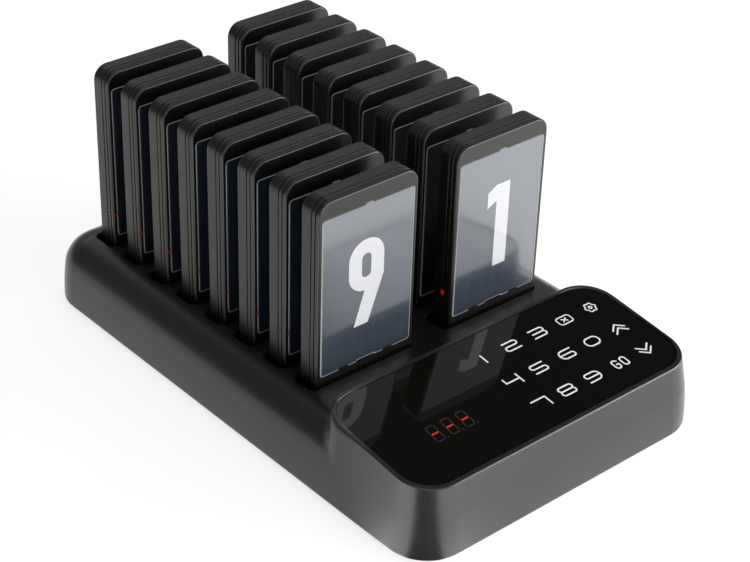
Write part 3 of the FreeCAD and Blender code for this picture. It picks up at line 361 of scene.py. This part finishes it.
# The nodes of pagers 2 to 16 aren't named here: a _window gets CARD and a _case gets PAGER
NODE_MATERIALS = {
    "base_top_shell": SHELL, "base_bottom_cover": UNDERSIDE, "keypad_panel": PANEL,
    "touch_board": BOARD, "display_module": BLACK, "slot_tray_right": BLACK,
    "slot_tray_left": BLACK, "charging_boards": BOARD, "charging_pins": GOLD,
    "main_board": BOARD, "radio_module": TIN, "antenna": COPPER, "base_sounder": BLACK,
    "ribbon_cables": RIBBON, "power_inlet": INLET, "rubber_feet": RUBBER,
    "base_case_screws": STEEL, "board_screws": STEEL,
    "pager_01_rear_shell": PAGER, "pager_01_light_band": PAGER, "pager_01_front_shell": PAGER,
    "pager_01_circuit_board": BOARD, "pager_01_battery": FOIL, "pager_01_vibration_motor": TIN,
    "pager_01_sounder": BLACK, "pager_01_light_leds": LED_GLOW,
    "pager_01_charge_contacts": GOLD, "pager_01_case_screws": STEEL,
    "pager_01_window": CARD, "pager_01_number_card": CARD,
}
for node_name, cad_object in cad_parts.items():
    finish = NODE_MATERIALS.get(node_name, CARD if node_name.endswith("_window") else PAGER)
    if not cad_object.material_slots:
        cad_object.data.materials.append(finish.material)
    for material_slot in cad_object.material_slots:
        material_slot.material = finish.material


# ------------------------------------------------------------------ flat shapes
def rounded(x, y, left, right, bottom, top, radius):
    """Signed distance to a rounded rectangle, negative inside."""
    cx, cy = (left + right) / 2, (bottom + top) / 2
    dx = np.abs(x - cx) - ((right - left) / 2 - radius)
    dy = np.abs(y - cy) - ((top - bottom) / 2 - radius)
    outside = np.hypot(np.maximum(dx, 0), np.maximum(dy, 0))
    return outside + np.minimum(np.maximum(dx, dy), 0) - radius


def polygon(x, y, corners):
    """Signed distance to a convex polygon given anticlockwise."""
    value = np.full_like(x, -1e9)
    for (ax, ay), (bx, by) in zip(corners, corners[1:] + corners[:1]):
        length = math.hypot(bx - ax, by - ay)
        value = np.maximum(value, ((by - ay) * (x - ax) - (bx - ax) * (y - ay)) / length)
    return value


def strokes(x, y, paths, half_width):
    """Signed distance to round-ended strokes along each path."""
    value = np.full_like(x, 1e9)
    for path in paths:
        for (ax, ay), (bx, by) in zip(path, path[1:]):
            dx, dy = bx - ax, by - ay
            if dx * dx + dy * dy < 1e-9:
                continue
            along = np.clip(((x - ax) * dx + (y - ay) * dy) / (dx * dx + dy * dy), 0, 1)
            value = np.minimum(value, np.hypot(x - ax - along * dx, y - ay - along * dy))
    return value - half_width


def join(*values):
    """Signed distance to everything that is in any of the shapes."""
    return np.minimum.reduce(values)


def cut(value, *holes):
    """Signed distance to a shape without the holes."""
    for hole in holes:
        value = np.maximum(value, -hole)
    return value


def digit(x, y, character):
    """Signed distance to one bold condensed digit, drawn from its lower left corner."""
    w, h = NUMBER_WIDTH, NUMBER_HEIGHT
    a, b, r, i = 7.1, 12.2, 9.3, 2.4    # counter's sides, outer and inner radius
    if character == "1":
        flag = polygon(x, y, [(0, 31.0), (5.4, 33.8), (5.4, h), (4.6, h - 0.2), (0, 38.8)])
        return join(rounded(x, y, 5.3, ONE_WIDTH, 0, h, 0.1), flag)
    if character == "0":
        return cut(rounded(x, y, 0, w, 0, h, r), rounded(x, y, a, b, 6.8, h - 6.8, i))
    if character == "8":
        outer = join(rounded(x, y, 0, w, 0, 24.4, r), rounded(x, y, 0.5, w - 0.5, 19.6, h, 9.0))
        return cut(outer, rounded(x, y, a, b, 6.8, 18.6, i), rounded(x, y, a, b, 25.0, h - 6.6, i))
    if character in "69":
        if character == "6":
            x, y = w - x, h - y
        loop = join(rounded(x, y, 0, w, 16.8, h, r), rounded(x, y, b, w, 21.6, 30.0, 0.1))
        loop = cut(loop, rounded(x, y, a, b, 23.2, h - 6.9, i))
        return join(loop, polygon(x, y, [(3.3, 0), (11.1, 0), (w, 22.0), (10.6, 22.0)]))
    if character == "3":
        outer = join(rounded(x, y, 0, w, 0, 24.0, r), rounded(x, y, 0, w, 19.4, h, r))
        counters = [rounded(x, y, a, b, 6.8, 18.4, i), rounded(x, y, a, b, 25.0, h - 6.8, i)]
        return cut(outer, *counters, rounded(x, y, -5, a + 0.02, 13.0, 28.8, 0.1))
    if character == "2":
        hook = cut(rounded(x, y, 0, w, 16.0, h, r), rounded(x, y, a, b, 10.0, h - 6.8, i))
        hook = cut(hook, rounded(x, y, -5, b, 0, 28.4, 0.1),
                   rounded(x, y, b - 1, 30, 0, 23.5, 0.1))
        neck = polygon(x, y, [(0, 6.0), (8.3, 6.0), (w - 0.2, 25.0), (11.4, 25.0)])
        return join(hook, neck, rounded(x, y, 0, w, 0, 6.8, 0.1))
    if character == "5":
        bowl = cut(rounded(x, y, 0, w, 0, 26.6, r), rounded(x, y, a, b, 6.8, 19.9, i))
        bowl = cut(bowl, rounded(x, y, -5, a, 12.2, 18.4, 0.1))
        return join(bowl, rounded(x, y, 0.8, a + 0.7, 18.4, h, 0.1),
                    rounded(x, y, 0.8, w - 1, h - 6.8, h, 0.1))
    if character == "7":
        return join(rounded(x, y, 0, w - 0.6, h - 6.8, h, 0.1),
                    polygon(x, y, [(3.8, 0), (11.6, 0), (w - 0.6, h - 6.6), (11.2, h - 6.6)]))
    # a 4
    return join(rounded(x, y, 10.4, 17.7, 0, h, 0.1), rounded(x, y, 0, w + 0.9, 7.4, 14.0, 0.1),
                polygon(x, y, [(0, 12.8), (7.3, 12.8), (16.6, h), (9.4, h)]))


def number(x, y, text):
    """Signed distance to a number, drawn about its middle."""
    widths = [ONE_WIDTH if c == "1" else NUMBER_WIDTH for c in text]
    left = -(sum(widths) + NUMBER_GAP * (len(text) - 1)) / 2
    values = []
    for character, width in zip(text, widths):
        values.append(digit(x - left, y, character))
        left += width + NUMBER_GAP
    return join(*values)


def arc(cx, cy, radius, start, end, steps=14):
    """Points along an arc, from one angle in degrees to another."""
    angles = np.radians(np.linspace(start, end, steps))
    return [(cx + radius * math.cos(t), cy + radius * math.sin(t)) for t in angles]


def turns(half, height, radius, start=0):
    """Arcs round the corners of a box, anticlockwise from an angle on the upper right one."""
    return [*arc(half, height, radius, start, 90), *arc(-half, height, radius, 90, 180),
            *arc(-half, -height, radius, 180, 270), *arc(half, -height, radius, 270, 360)]


BAR, TURN, SIDE = 2.57, 1.285, 2.62     # half height, radius of the turns, and their middle
SIX = [(3.8, BAR), *arc(-1.4, 0, BAR, 90, 270), *arc(SIDE, -TURN, TURN, -90, 90), (-3.4, 0)]
RIGHT_TOP = arc(SIDE, TURN, TURN, 90, -90)
RIGHT_LOW = arc(SIDE, -TURN, TURN, 90, -90)
LEFT_TOP = arc(-SIDE, TURN, TURN, 90, 270)
LEFT_LOW = arc(-SIDE, -TURN, TURN, 90, 270)
LETTER_G = [*turns(0.15, 1.25, 1.25, 20), (1.4, -0.1), (0.2, -0.1)]
LETTER_O = [*turns(0.15, 1.25, 1.25), (1.4, 1.25)]
GEAR_RADIUS, GEAR_TOOTH, GEAR_TEETH, GEAR_HOLE = 2.72, 0.34, 6, 0.78
GEAR = [((GEAR_RADIUS + GEAR_TOOTH * math.cos(GEAR_TEETH * t)) * math.cos(t),
         (GEAR_RADIUS + GEAR_TOOTH * math.cos(GEAR_TEETH * t)) * math.sin(t))
        for t in np.linspace(0, 2 * math.pi, 73)]

# Name of each key, its middle across and up the desk, and its strokes about that middle
LEGENDS = (
    ("1", -0.66, 51.4, [[(0, -2.4), (0, BAR)]]),
    ("2", 15.85, 51.56, [[(-3.5, BAR), *RIGHT_TOP, *LEFT_LOW, (3.9, -BAR)]]),
    ("3", 32.16, 51.56, [[(-3.8, BAR), *RIGHT_TOP, (-3.1, 0)], [*RIGHT_LOW, (-3.8, -BAR)]]),
    ("clear", 48.87, 51.56, [[*turns(2.4, 0.9, 1.5), (3.9, 0.9)],
                             [(-1.25, -0.9), (1.25, 0.9)], [(-1.25, 0.9), (1.25, -0.9)]]),
    ("settings", 65.38, 51.56, [GEAR, arc(0, 0, GEAR_HOLE, 0, 360)]),
    ("4", 0.24, 34.0, [[(-3.95, BAR), (-3.95, -0.1), (3.85, -0.1)],
                       [(3.75, BAR + 0.2), (3.75, -BAR - 0.2)]]),
    ("5", 15.66, 34.0, [[(3.8, BAR), *LEFT_TOP, *RIGHT_LOW, (-3.8, -BAR)]]),
    ("6", 32.69, 34.0, [SIX]),
    ("0", 48.61, 34.0, [[*arc(1.35, 0, BAR, -90, 90), *arc(-1.35, 0, BAR, 90, 270), (1.35, -BAR)]]),
    ("up", 65.33, 34.0, [[(-3.6, -0.35), (0, 2.75), (3.6, -0.35)],
                         [(-3.6, -2.95), (0, 0.15), (3.6, -2.95)]]),
    ("7", 0.53, 16.7, [[(-4.0, BAR), (3.6, BAR), (3.85, BAR - 0.25), (3.85, -BAR - 0.1)]]),
    ("8", 15.66, 16.7, [[(-SIDE, BAR), *RIGHT_TOP, *RIGHT_LOW, *arc(-SIDE, -TURN, TURN, 270, 90),
                         *arc(-SIDE, TURN, TURN, 270, 90)], [(-SIDE, 0), (SIDE, 0)]]),
    ("9", 31.70, 16.7, [[(-a, -b) for a, b in SIX]]),
    ("go", 48.54, 16.7, [[(a - 2.45, b) for a, b in LETTER_G],
                         [(a + 2.55, b) for a, b in LETTER_O]]),
    ("down", 64.98, 16.7, [[(-3.6, 0.35), (0, -2.75), (3.6, 0.35)],
                           [(-3.6, 2.95), (0, -0.15), (3.6, 2.95)]]),
)


def segments(x, y, which):
    """Signed distance to the named bars of a seven-segment digit, leaning slightly."""
    x = x - y * math.tan(SEGMENT_LEAN)
    value = np.full_like(x, 1e9)
    for name in which:
        if name == "point":
            dot = np.hypot(x - POINT_CENTRE[0], y - POINT_CENTRE[1]) - POINT_RADIUS
            value = np.minimum(value, dot)
            continue
        cx, cy, upright = SEGMENT_BARS[name]
        across, along = np.abs(x - cx), np.abs(y - cy)
        if not upright:
            across, along = along, across
        bar = np.maximum(across - SEGMENT_HALF_WIDTH, along - SEGMENT_HALF_LENGTH)
        tips = (across + along - SEGMENT_TIP) * DIAGONAL
        value = np.minimum(value, np.maximum(bar, tips))
    return value


def trace(shape, left, right, bottom, top, step):
    """Outlines and fills a signed distance on a fine grid: returns points and faces."""
    columns = int(math.ceil((right - left) / step))
    rows = int(math.ceil((top - bottom) / step))
    xs = left + step * np.arange(columns + 1)
    ys = bottom + step * np.arange(rows + 1)
    value = shape(*np.meshgrid(xs, ys))
    value = np.where(np.abs(value) < 1e-6, 1e-6, value)     # no crossing on a grid point
    inside = value < 0
    busy = inside[:-1, :-1] | inside[1:, :-1] | inside[:-1, 1:] | inside[1:, 1:]
    points, index, faces = [], {}, []

    def point(key, px, py):
        if key not in index:
            index[key] = len(points)
            points.append((px, py))
        return index[key]

    for j, i in zip(*np.nonzero(busy)):
        ring = ((j, i), (j, i + 1), (j + 1, i + 1), (j + 1, i))
        face = []
        for p, q in zip(ring, ring[1:] + ring[:1]):
            vp, vq = value[p], value[q]
            if vp < 0:
                face.append(point((p, p), xs[p[1]], ys[p[0]]))
            if (vp < 0) != (vq < 0):
                t = vp / (vp - vq)
                face.append(point((min(p, q), max(p, q)),
                                  xs[p[1]] + t * (xs[q[1]] - xs[p[1]]),
                                  ys[p[0]] + t * (ys[q[0]] - ys[p[0]])))
        if len(face) > 2:
            faces.append(face)
    return points, faces


MERGE = 0.02                        # points nearer than this part of a grid step become one
STRAIGHT = math.radians(1.5)        # an outline that turns less than this at a point loses it


def inlay(name, shape, box, step, place, thickness):
    """A thin raised shape. place turns its (x, y, height) in millimetres into a point in metres."""
    points, faces = trace(shape, *box, step)
    mesh = bmesh.new()
    corners = [mesh.verts.new((px, py, 0)) for px, py in points]
    for face in faces:
        mesh.faces.new([corners[k] for k in face])
    bmesh.ops.remove_doubles(mesh, verts=mesh.verts, dist=step * MERGE)
    bmesh.ops.dissolve_limit(mesh, angle_limit=STRAIGHT, verts=mesh.verts, edges=mesh.edges)
    raised = bmesh.ops.extrude_face_region(mesh, geom=mesh.faces[:])
    for part in raised["geom"]:
        if isinstance(part, bmesh.types.BMVert):
            part.co.z += thickness
    bmesh.ops.recalc_face_normals(mesh, faces=mesh.faces)
    for corner in mesh.verts:
        corner.co = place(*corner.co)
    data = bpy.data.meshes.new(name)
    mesh.to_mesh(data)
    mesh.free()
    made = bpy.data.objects.new(name, data)
    SCENE.collection.objects.link(made)
    return made


def dress(piece, shader, body):
    """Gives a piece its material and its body."""
    piece.data.materials.append(shader.material)
    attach(piece, body)


# ------------------------------------------------------------------ keypad
def on_panel(cx, cy):
    """Places a shape on the face of the panel, cx across the desk and cy up it."""
    def place(x, y, height):
        along, above = cy + y, height + KEYPAD_LIFT - PANEL_RECESS
        return Vector((
            cx + x,
            DESK_FRONT[0] + along * math.cos(DESK_TILT) - above * math.sin(DESK_TILT),
            DESK_FRONT[1] + along * math.sin(DESK_TILT) + above * math.cos(DESK_TILT))) * MM
    return place


for label, legend_x, legend_y, paths in LEGENDS:
    stroke = FINE_STROKE if label in ("clear", "settings") else LEGEND_STROKE
    piece = inlay(f"legend_{label}",
                  lambda x, y, paths=paths, stroke=stroke: strokes(x, y, paths, stroke),
                  LEGEND_BOX, KEYPAD_STEP, on_panel(legend_x, legend_y), LEGEND_THICKNESS)
    dress(piece, LEGEND, "base")

ALL_OFF = ("top", "low", "left_up", "left_low", "right_up", "right_low", "point")
for count, (display_x, display_y) in enumerate(DISPLAY_CENTRES, 1):
    for state, which, shader in (("lit", ("middle",), SEGMENT_ON), ("dark", ALL_OFF, SEGMENT_OFF)):
        piece = inlay(f"display_{count}_{state}",
                      lambda x, y, which=which: segments(x, y, which),
                      DISPLAY_BOX, KEYPAD_STEP, on_panel(display_x, display_y), DISPLAY_THICKNESS)
        dress(piece, shader, "base")


# ------------------------------------------------------------------ pager windows
def window_outline():
    """Outline of the window's face about the middle of its lower edge, anticlockwise."""
    half, top, radius = WINDOW_WIDTH / 2, WINDOW_HEIGHT, WINDOW_RADIUS
    snap_width, snap_depth, offset = SNAP_NOTCH
    line = arc(-half + radius, radius, radius, 180, 270, CORNER_STEPS)
    for centre, width, depth in ((-offset, snap_width, snap_depth), (0, *PRY_NOTCH),
                                 (offset, snap_width, snap_depth)):
        slope = depth * NOTCH_SLOPE
        line += [(centre - width / 2 - slope, 0), (centre - width / 2, depth),
                 (centre + width / 2, depth), (centre + width / 2 + slope, 0)]
    line += arc(half - radius, radius, radius, 270, 360, CORNER_STEPS)
    line += arc(half - radius, top - radius, radius, 0, 90, CORNER_STEPS)
    tab_half, tab_top = TAB[0] / 2, top + TAB[1]
    line += [(tab_half, top), (tab_half - TAB_SLOPE, tab_top),
             (-tab_half + TAB_SLOPE, tab_top), (-tab_half, top)]
    line += arc(-half + radius, top - radius, radius, 90, 180, CORNER_STEPS)
    return line


def lit_edge(middle):
    """Whether a stretch of the edge gets the painted highlight: not along the top, nor in the snap
    notches.
    """
    width, depth, offset = SNAP_NOTCH
    in_notch = abs(abs(middle.x) - offset) < width / 2 + depth and middle.z < 2 * depth
    return middle.z < WINDOW_HEIGHT - BEVEL - LIP and not in_notch


def framed(mesh, face, width, **more):
    """Sets a face in by a width and returns the strips that this leaves round it."""
    return bmesh.ops.inset_region(
        mesh, faces=[face], thickness=width, use_even_offset=True, **more)["faces"]


def window_pieces(tag, cx, face_y):
    """The bevelled clear rim of one window, and the flat of the window over its card.

    The rim's first material is the edge with its painted highlight and its second the card's.
    The flat has them the other way round."""
    front = face_y - WINDOW_PROUD
    mesh = bmesh.new()
    ring = [mesh.verts.new((x, front + BEVEL, z)) for x, z in window_outline()]
    face = mesh.faces.new(ring)
    sides = bmesh.ops.extrude_edge_only(mesh, edges=face.edges[:])
    for part in sides["geom"]:
        if isinstance(part, bmesh.types.BMVert):
            part.co.y += WINDOW_DEPTH - BEVEL
    bevel = framed(mesh, face, BEVEL)
    for corner in face.verts:
        corner.co.y = front
    bmesh.ops.recalc_face_normals(mesh, faces=mesh.faces)
    for strip in bevel:
        strip.material_index = 0 if lit_edge(strip.calc_center_median()) else 1
    flat = bmesh.new()
    inner = flat.faces.new([flat.verts.new(corner.co) for corner in face.verts])
    mesh.faces.remove(face)
    flat.normal_update()
    for strip in framed(flat, inner, LIP, use_boundary=True):
        strip.material_index = 1 if lit_edge(strip.calc_center_median()) else 0
    for width, sink in ((BORDER - LIP, 0.0), (BORDER_LINE, GROOVE_SINK), (BORDER_LINE, 0.0)):
        framed(flat, inner, width, use_boundary=True)
        for corner in inner.verts:
            corner.co.y = front + sink
    for strip in flat.faces:
        strip.normal_update()
        if strip.normal.y > 0:
            strip.normal_flip()
    made = []
    for suffix, source in (("rim", mesh), ("flat", flat)):
        for corner in source.verts:
            corner.co = Vector((cx + corner.co.x, corner.co.y, WINDOW_BOTTOM + corner.co.z)) * MM
        data = bpy.data.meshes.new(f"{tag}_{suffix}")
        source.to_mesh(data)
        source.free()
        piece = bpy.data.objects.new(f"{tag}_{suffix}", data)
        SCENE.collection.objects.link(piece)
        made.append(piece)
    return made


def pagers():
    """Each pager's number and body, its column's x, its face's y and its place in the row."""
    for column, column_x in enumerate(COLUMNS):
        for place_in_row in range(ROW_COUNT):
            count = column * ROW_COUNT + place_in_row + 1
            face_y = FIRST_FACE + place_in_row * ROW_PITCH
            yield count, f"pager_{count:02d}", column_x, face_y, place_in_row


def on_card(cx, face_y):
    """Places a number on the window of a pager."""
    front = face_y - WINDOW_PROUD - NUMBER_LIFT
    return lambda x, y, height: Vector(
        (cx + NUMBER_SHIFT + x, front - height, NUMBER_BOTTOM + y)) * MM


for count, body, column_x, face_y, place_in_row in pagers():
    window_rim, window_flat = window_pieces(f"{body}_window", column_x, face_y)
    one = count == 1
    # painted highlight on the front pager's window edges, painted shade on the edges of the pagers
    # behind
    edge = EDGE_PAINTED_SHADE if place_in_row else EDGE_PAINTED_HIGHLIGHT
    dress(window_rim, edge, body)
    window_rim.data.materials.append(CARD.material)
    dress(window_flat, CARD, body)
    window_flat.data.materials.append(edge.material)
    if one:
        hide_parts("pager_01_window")
        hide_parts("pager_01_number_card")
    else:
        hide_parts(f"{body}_window")
    digits = inlay(f"{body}_number", lambda x, y, text=str(count): number(x, y, text),
                   NUMBER_BOX, NUMBER_STEP, on_card(column_x, face_y), NUMBER_THICKNESS)
    dress(digits, NUMBER, body)


# ------------------------------------------------------------------ painted glow of the charging lights
def oval(half_width, half_height):
    """Signed distance to an oval, drawn about its middle."""
    return lambda x, y: (np.hypot(x / half_width, y / half_height) - 1) * half_width


def on_side(side_x, outward, groove_y):
    """Places a shape on a pager's side, about its charging light."""
    return lambda x, y, height: Vector(
        (side_x + outward * (LIGHT_LIFT + height), groove_y + x, LIGHT_HEIGHT + y)) * MM


def on_face(edge_x, face_y):
    """Places a shape on a window's upright edge, beside the charging light."""
    return lambda x, y, height: Vector(
        (edge_x + x, face_y - WINDOW_PROUD - LIGHT_LIFT - height, LIGHT_HEIGHT + y)) * MM


for count, body, column_x, face_y, place_in_row in pagers():
    side_shader = SIDE_LIGHT if count == 1 else SIDE_LIGHT_FAINT
    face_shader = EDGE_LIGHT if place_in_row >= BRIGHT_FROM else EDGE_LIGHT_FAINT
    for side_name, side in (("left", -1), ("right", 1)):
        place = on_side(column_x + side * PAGER_WIDTH / 2, side, face_y + LIGHT_GROOVE)
        piece = inlay(f"{body}_light_{side_name}", oval(*SIDE_OVAL), SIDE_BOX, LIGHT_STEP,
                      place, LIGHT_THICKNESS)
        dress(piece, side_shader, body)
        if place_in_row:
            place = on_face(column_x + side * (WINDOW_WIDTH / 2 + FACE_OUT), face_y)
            piece = inlay(f"{body}_glow_{side_name}", oval(*FACE_OVAL), FACE_BOX, LIGHT_STEP,
                          place, LIGHT_THICKNESS)
            dress(piece, face_shader, body)


# ------------------------------------------------------------------ studio
LAMP_AIM = Vector((0, 0, 0.05))


def softbox(name, place, width, height, watts):
    """A soft white lamp, turned towards the object."""
    data = bpy.data.lights.new(name, "AREA")
    data.shape, data.size, data.size_y, data.energy = "RECTANGLE", width, height, watts
    lamp = bpy.data.objects.new(name, data)
    lamp.location = place
    lamp.rotation_euler = (LAMP_AIM - Vector(place)).to_track_quat("-Z", "Y").to_euler()
    SCENE.collection.objects.link(lamp)


softbox("front_box", (0.25, -1.3, 0.25), 1.2, 0.5, 8.6)
softbox("right_box", (1.1, -0.9, 0.35), 0.9, 0.6, 11.0)
softbox("top_box", (0.1, 0.2, 1.5), 1.0, 1.0, 2.8)


def seen_rays(tree):
    """Two sockets: 1 for camera rays alone, and 1 for camera, glossy and transmission rays.

    Both are 0 for the light that the object receives."""
    path = tree.nodes.new("ShaderNodeLightPath")
    first, second = (tree.nodes.new("ShaderNodeMath") for _ in range(2))
    first.operation = second.operation = "MAXIMUM"
    tree.links.new(path.outputs["Is Camera Ray"], first.inputs[0])
    tree.links.new(path.outputs["Is Glossy Ray"], first.inputs[1])
    tree.links.new(first.outputs[0], second.inputs[0])
    tree.links.new(path.outputs["Is Transmission Ray"], second.inputs[1])
    return path.outputs["Is Camera Ray"], second.outputs[0]


def ranged(tree, value, stretch, to_low=0.0, to_high=1.0):
    """Passes smoothly from one number to another as the value crosses a stretch."""
    made = tree.nodes.new("ShaderNodeMapRange")
    made.interpolation_type = "SMOOTHSTEP"
    for key, limit in zip(RANGE_SOCKETS, (*stretch, to_low, to_high)):
        made.inputs[key].default_value = limit
    tree.links.new(value, made.inputs["Value"])
    return made.outputs["Result"]


def blended(tree, factor, low, high):
    """low where factor is 0 and high where it is 1, each a number or a socket."""
    made = tree.nodes.new("ShaderNodeMix")
    for socket, value in ((made.inputs[0], factor), (made.inputs[2], low), (made.inputs[3], high)):
        if isinstance(value, (int, float)):
            socket.default_value = value
        else:
            tree.links.new(value, socket)
    return made.outputs[0]


def summed(tree, first, second, factor):
    """first + factor * second."""
    made = tree.nodes.new("ShaderNodeMath")
    made.operation = "MULTIPLY_ADD"
    tree.links.new(second, made.inputs[0])
    made.inputs[1].default_value = factor
    tree.links.new(first, made.inputs[2])
    return made.outputs[0]


# The sweep round the object, as the object mirrors it: strengths, and the stretches of a
# direction's x, y and z over which one strength passes into the next
AMBIENT = 0.10                      # plain light from all round
SWEEP = (0.25, 0.95)                # below and above SWEEP_RISE
SWEEP_RISE = (0.38, 0.60)           # z
SWEEP_LEFT = 0.2
SWEEP_FRONT = 0.8
CEILING = 0.04
CEILING_RISE = (0.64, 0.76)         # z
CEILING_SLOPE = 0.25                # the ceiling is lower at the right
CEILING_RIGHT = (0.68, 0.78)        # z + CEILING_SLOPE * x
CEILING_FRONT = (0.80, 0.95)        # z, in front of the object
LEFT_ENDS = (-0.30, 0.10)           # x
FRONT_ENDS = (-0.30, 0.10)          # y


def make_world():
    """A pale sweep round the object that brightens upwards to a dark ceiling.

    In front of the object the sweep has one strength and reaches higher."""
    world = bpy.data.worlds.new("studio")
    world.use_nodes = True
    SCENE.world = world
    tree = world.node_tree
    camera, seen = seen_rays(tree)
    axes = tree.nodes.new("ShaderNodeSeparateXYZ")
    tree.links.new(tree.nodes.new("ShaderNodeTexCoord").outputs["Generated"], axes.inputs[0])
    x, y, z = (axes.outputs[key] for key in "XYZ")
    to_right = summed(tree, z, x, CEILING_SLOPE)
    behind = ranged(tree, z, SWEEP_RISE, *SWEEP)
    behind = blended(tree, ranged(tree, to_right, CEILING_RIGHT), behind, CEILING)
    behind = blended(tree, ranged(tree, z, CEILING_RISE), behind, CEILING)
    behind = blended(tree, ranged(tree, x, LEFT_ENDS), SWEEP_LEFT, behind)
    ahead = ranged(tree, z, CEILING_FRONT, SWEEP_FRONT, CEILING)
    mirrored = blended(tree, ranged(tree, y, FRONT_ENDS), ahead, behind)
    level = blended(tree, camera, blended(tree, seen, AMBIENT, mirrored), 1.0)
    background = tree.nodes["Background"]
    tree.links.new(level, background.inputs["Strength"])
    background.inputs["Color"].default_value = (1, 1, 1, 1)


# Floor, in metres. Its mirrored strengths pass into each other by the direction from the middle of
# the base's front left corner: 1 is straight out from that corner, and less is further round
FLOOR_HALF, FLOOR_CELLS = 6.0, 24
FLOOR_ALBEDO = 0.9
FLOOR_SEEN = (0.76, 1.0)            # as the camera sees it, near the object and far from it
FLOOR_SEEN_STRETCH = (0.35, 1.2)    # distance from the origin
FRONT_LEFT = (-0.064, -0.1154, 0.0)
FRONT_LEFT_OUTWARD = (-0.67, -0.742, 0.0)
MIRROR_LEFT = (0.66, 2.5)           # left of the object, before and after MIRROR_RISE
MIRROR_FRONT = (1.05, 1.8)          # the same in front of the object
MIRROR_RISE = (-0.2, 0.72)
MIRROR_DARK = (0.86, 0.95)          # from there to no light at all
LEFT_TO_FRONT = (0.0, 0.1)          # x - y


def make_floor():
    """White floor: light for the seen rays, a plain diffuse sheet for the rest.

    What the shell mirrors of it is bright on both sides of the front left corner and dark straight
    out from it."""
    mesh = bpy.data.meshes.new("floor")
    row = FLOOR_CELLS + 1
    marks = [-FLOOR_HALF + 2 * FLOOR_HALF * i / FLOOR_CELLS for i in range(row)]
    starts = [j * row + i for j in range(FLOOR_CELLS) for i in range(FLOOR_CELLS)]
    mesh.from_pydata([(x, y, 0) for y in marks for x in marks], [],
                     [(k, k + 1, k + row + 1, k + row) for k in starts])
    floor = bpy.data.objects.new("floor", mesh)
    SCENE.collection.objects.link(floor)
    material = bpy.data.materials.new("floor_white")
    material.use_nodes = True
    mesh.materials.append(material)
    tree = material.node_tree
    bsdf = tree.nodes["Principled BSDF"]
    bsdf.inputs["Base Color"].default_value = (FLOOR_ALBEDO, FLOOR_ALBEDO, FLOOR_ALBEDO, 1)
    bsdf.inputs["Roughness"].default_value = 0.9
    bsdf.inputs["Specular IOR Level"].default_value = 0.0
    camera, seen = seen_rays(tree)
    place = tree.nodes.new("ShaderNodeNewGeometry").outputs["Position"]
    distance = vector_math(tree, "LENGTH", place)["Value"]
    seen_level = ranged(tree, distance, FLOOR_SEEN_STRETCH, *FLOOR_SEEN)
    from_corner = vector_math(tree, "SUBTRACT", place, FRONT_LEFT)["Vector"]
    outward = vector_math(tree, "NORMALIZE", from_corner)["Vector"]
    along = vector_math(tree, "DOT_PRODUCT", outward, FRONT_LEFT_OUTWARD)["Value"]
    across = vector_math(tree, "DOT_PRODUCT", place, (1, -1, 0))["Value"]
    in_front = ranged(tree, across, LEFT_TO_FRONT)
    bright = blended(tree, ranged(tree, along, MIRROR_RISE),
                     blended(tree, in_front, MIRROR_LEFT[0], MIRROR_FRONT[0]),
                     blended(tree, in_front, MIRROR_LEFT[1], MIRROR_FRONT[1]))
    mirrored = blended(tree, ranged(tree, along, MIRROR_DARK), bright, 0.0)
    glow = blended(tree, camera, blended(tree, seen, 0.0, mirrored), seen_level)
    bsdf.inputs["Emission Color"].default_value = (1, 1, 1, 1)
    tree.links.new(glow, bsdf.inputs["Emission Strength"])


make_world()
make_floor()

SCENE.view_settings.view_transform = "Standard"

# Camera of the photograph: focal length in pixels of a 750 px wide frame, its direction in
# degrees and its place in millimetres
FOCAL, FRAME_WIDTH, SENSOR = 1905.6, 750.0, 36.0
AZIMUTH, ELEVATION, ROLL = (math.radians(v) for v in (-41.776, 31.965, 1.89))
CAMERA_PLACE = Vector((-487.87, -554.06, 501.27))
camera_data = bpy.data.cameras.new("camera")
camera_data.lens = FOCAL * SENSOR / FRAME_WIDTH
camera_data.sensor_width = SENSOR
camera = bpy.data.objects.new("camera", camera_data)
SCENE.collection.objects.link(camera)
back = Vector((math.sin(AZIMUTH) * math.cos(ELEVATION),
               -math.cos(AZIMUTH) * math.cos(ELEVATION), math.sin(ELEVATION)))
level_right = (-back).cross(Vector((0, 0, 1))).normalized()
level_up = level_right.cross(-back)
right = level_right * math.cos(ROLL) + level_up * math.sin(ROLL)
up = level_up * math.cos(ROLL) - level_right * math.sin(ROLL)
turn = Matrix((right, up, back)).transposed()
camera.matrix_world = Matrix.Translation(CAMERA_PLACE * MM) @ turn.to_4x4()
SCENE.camera = camera
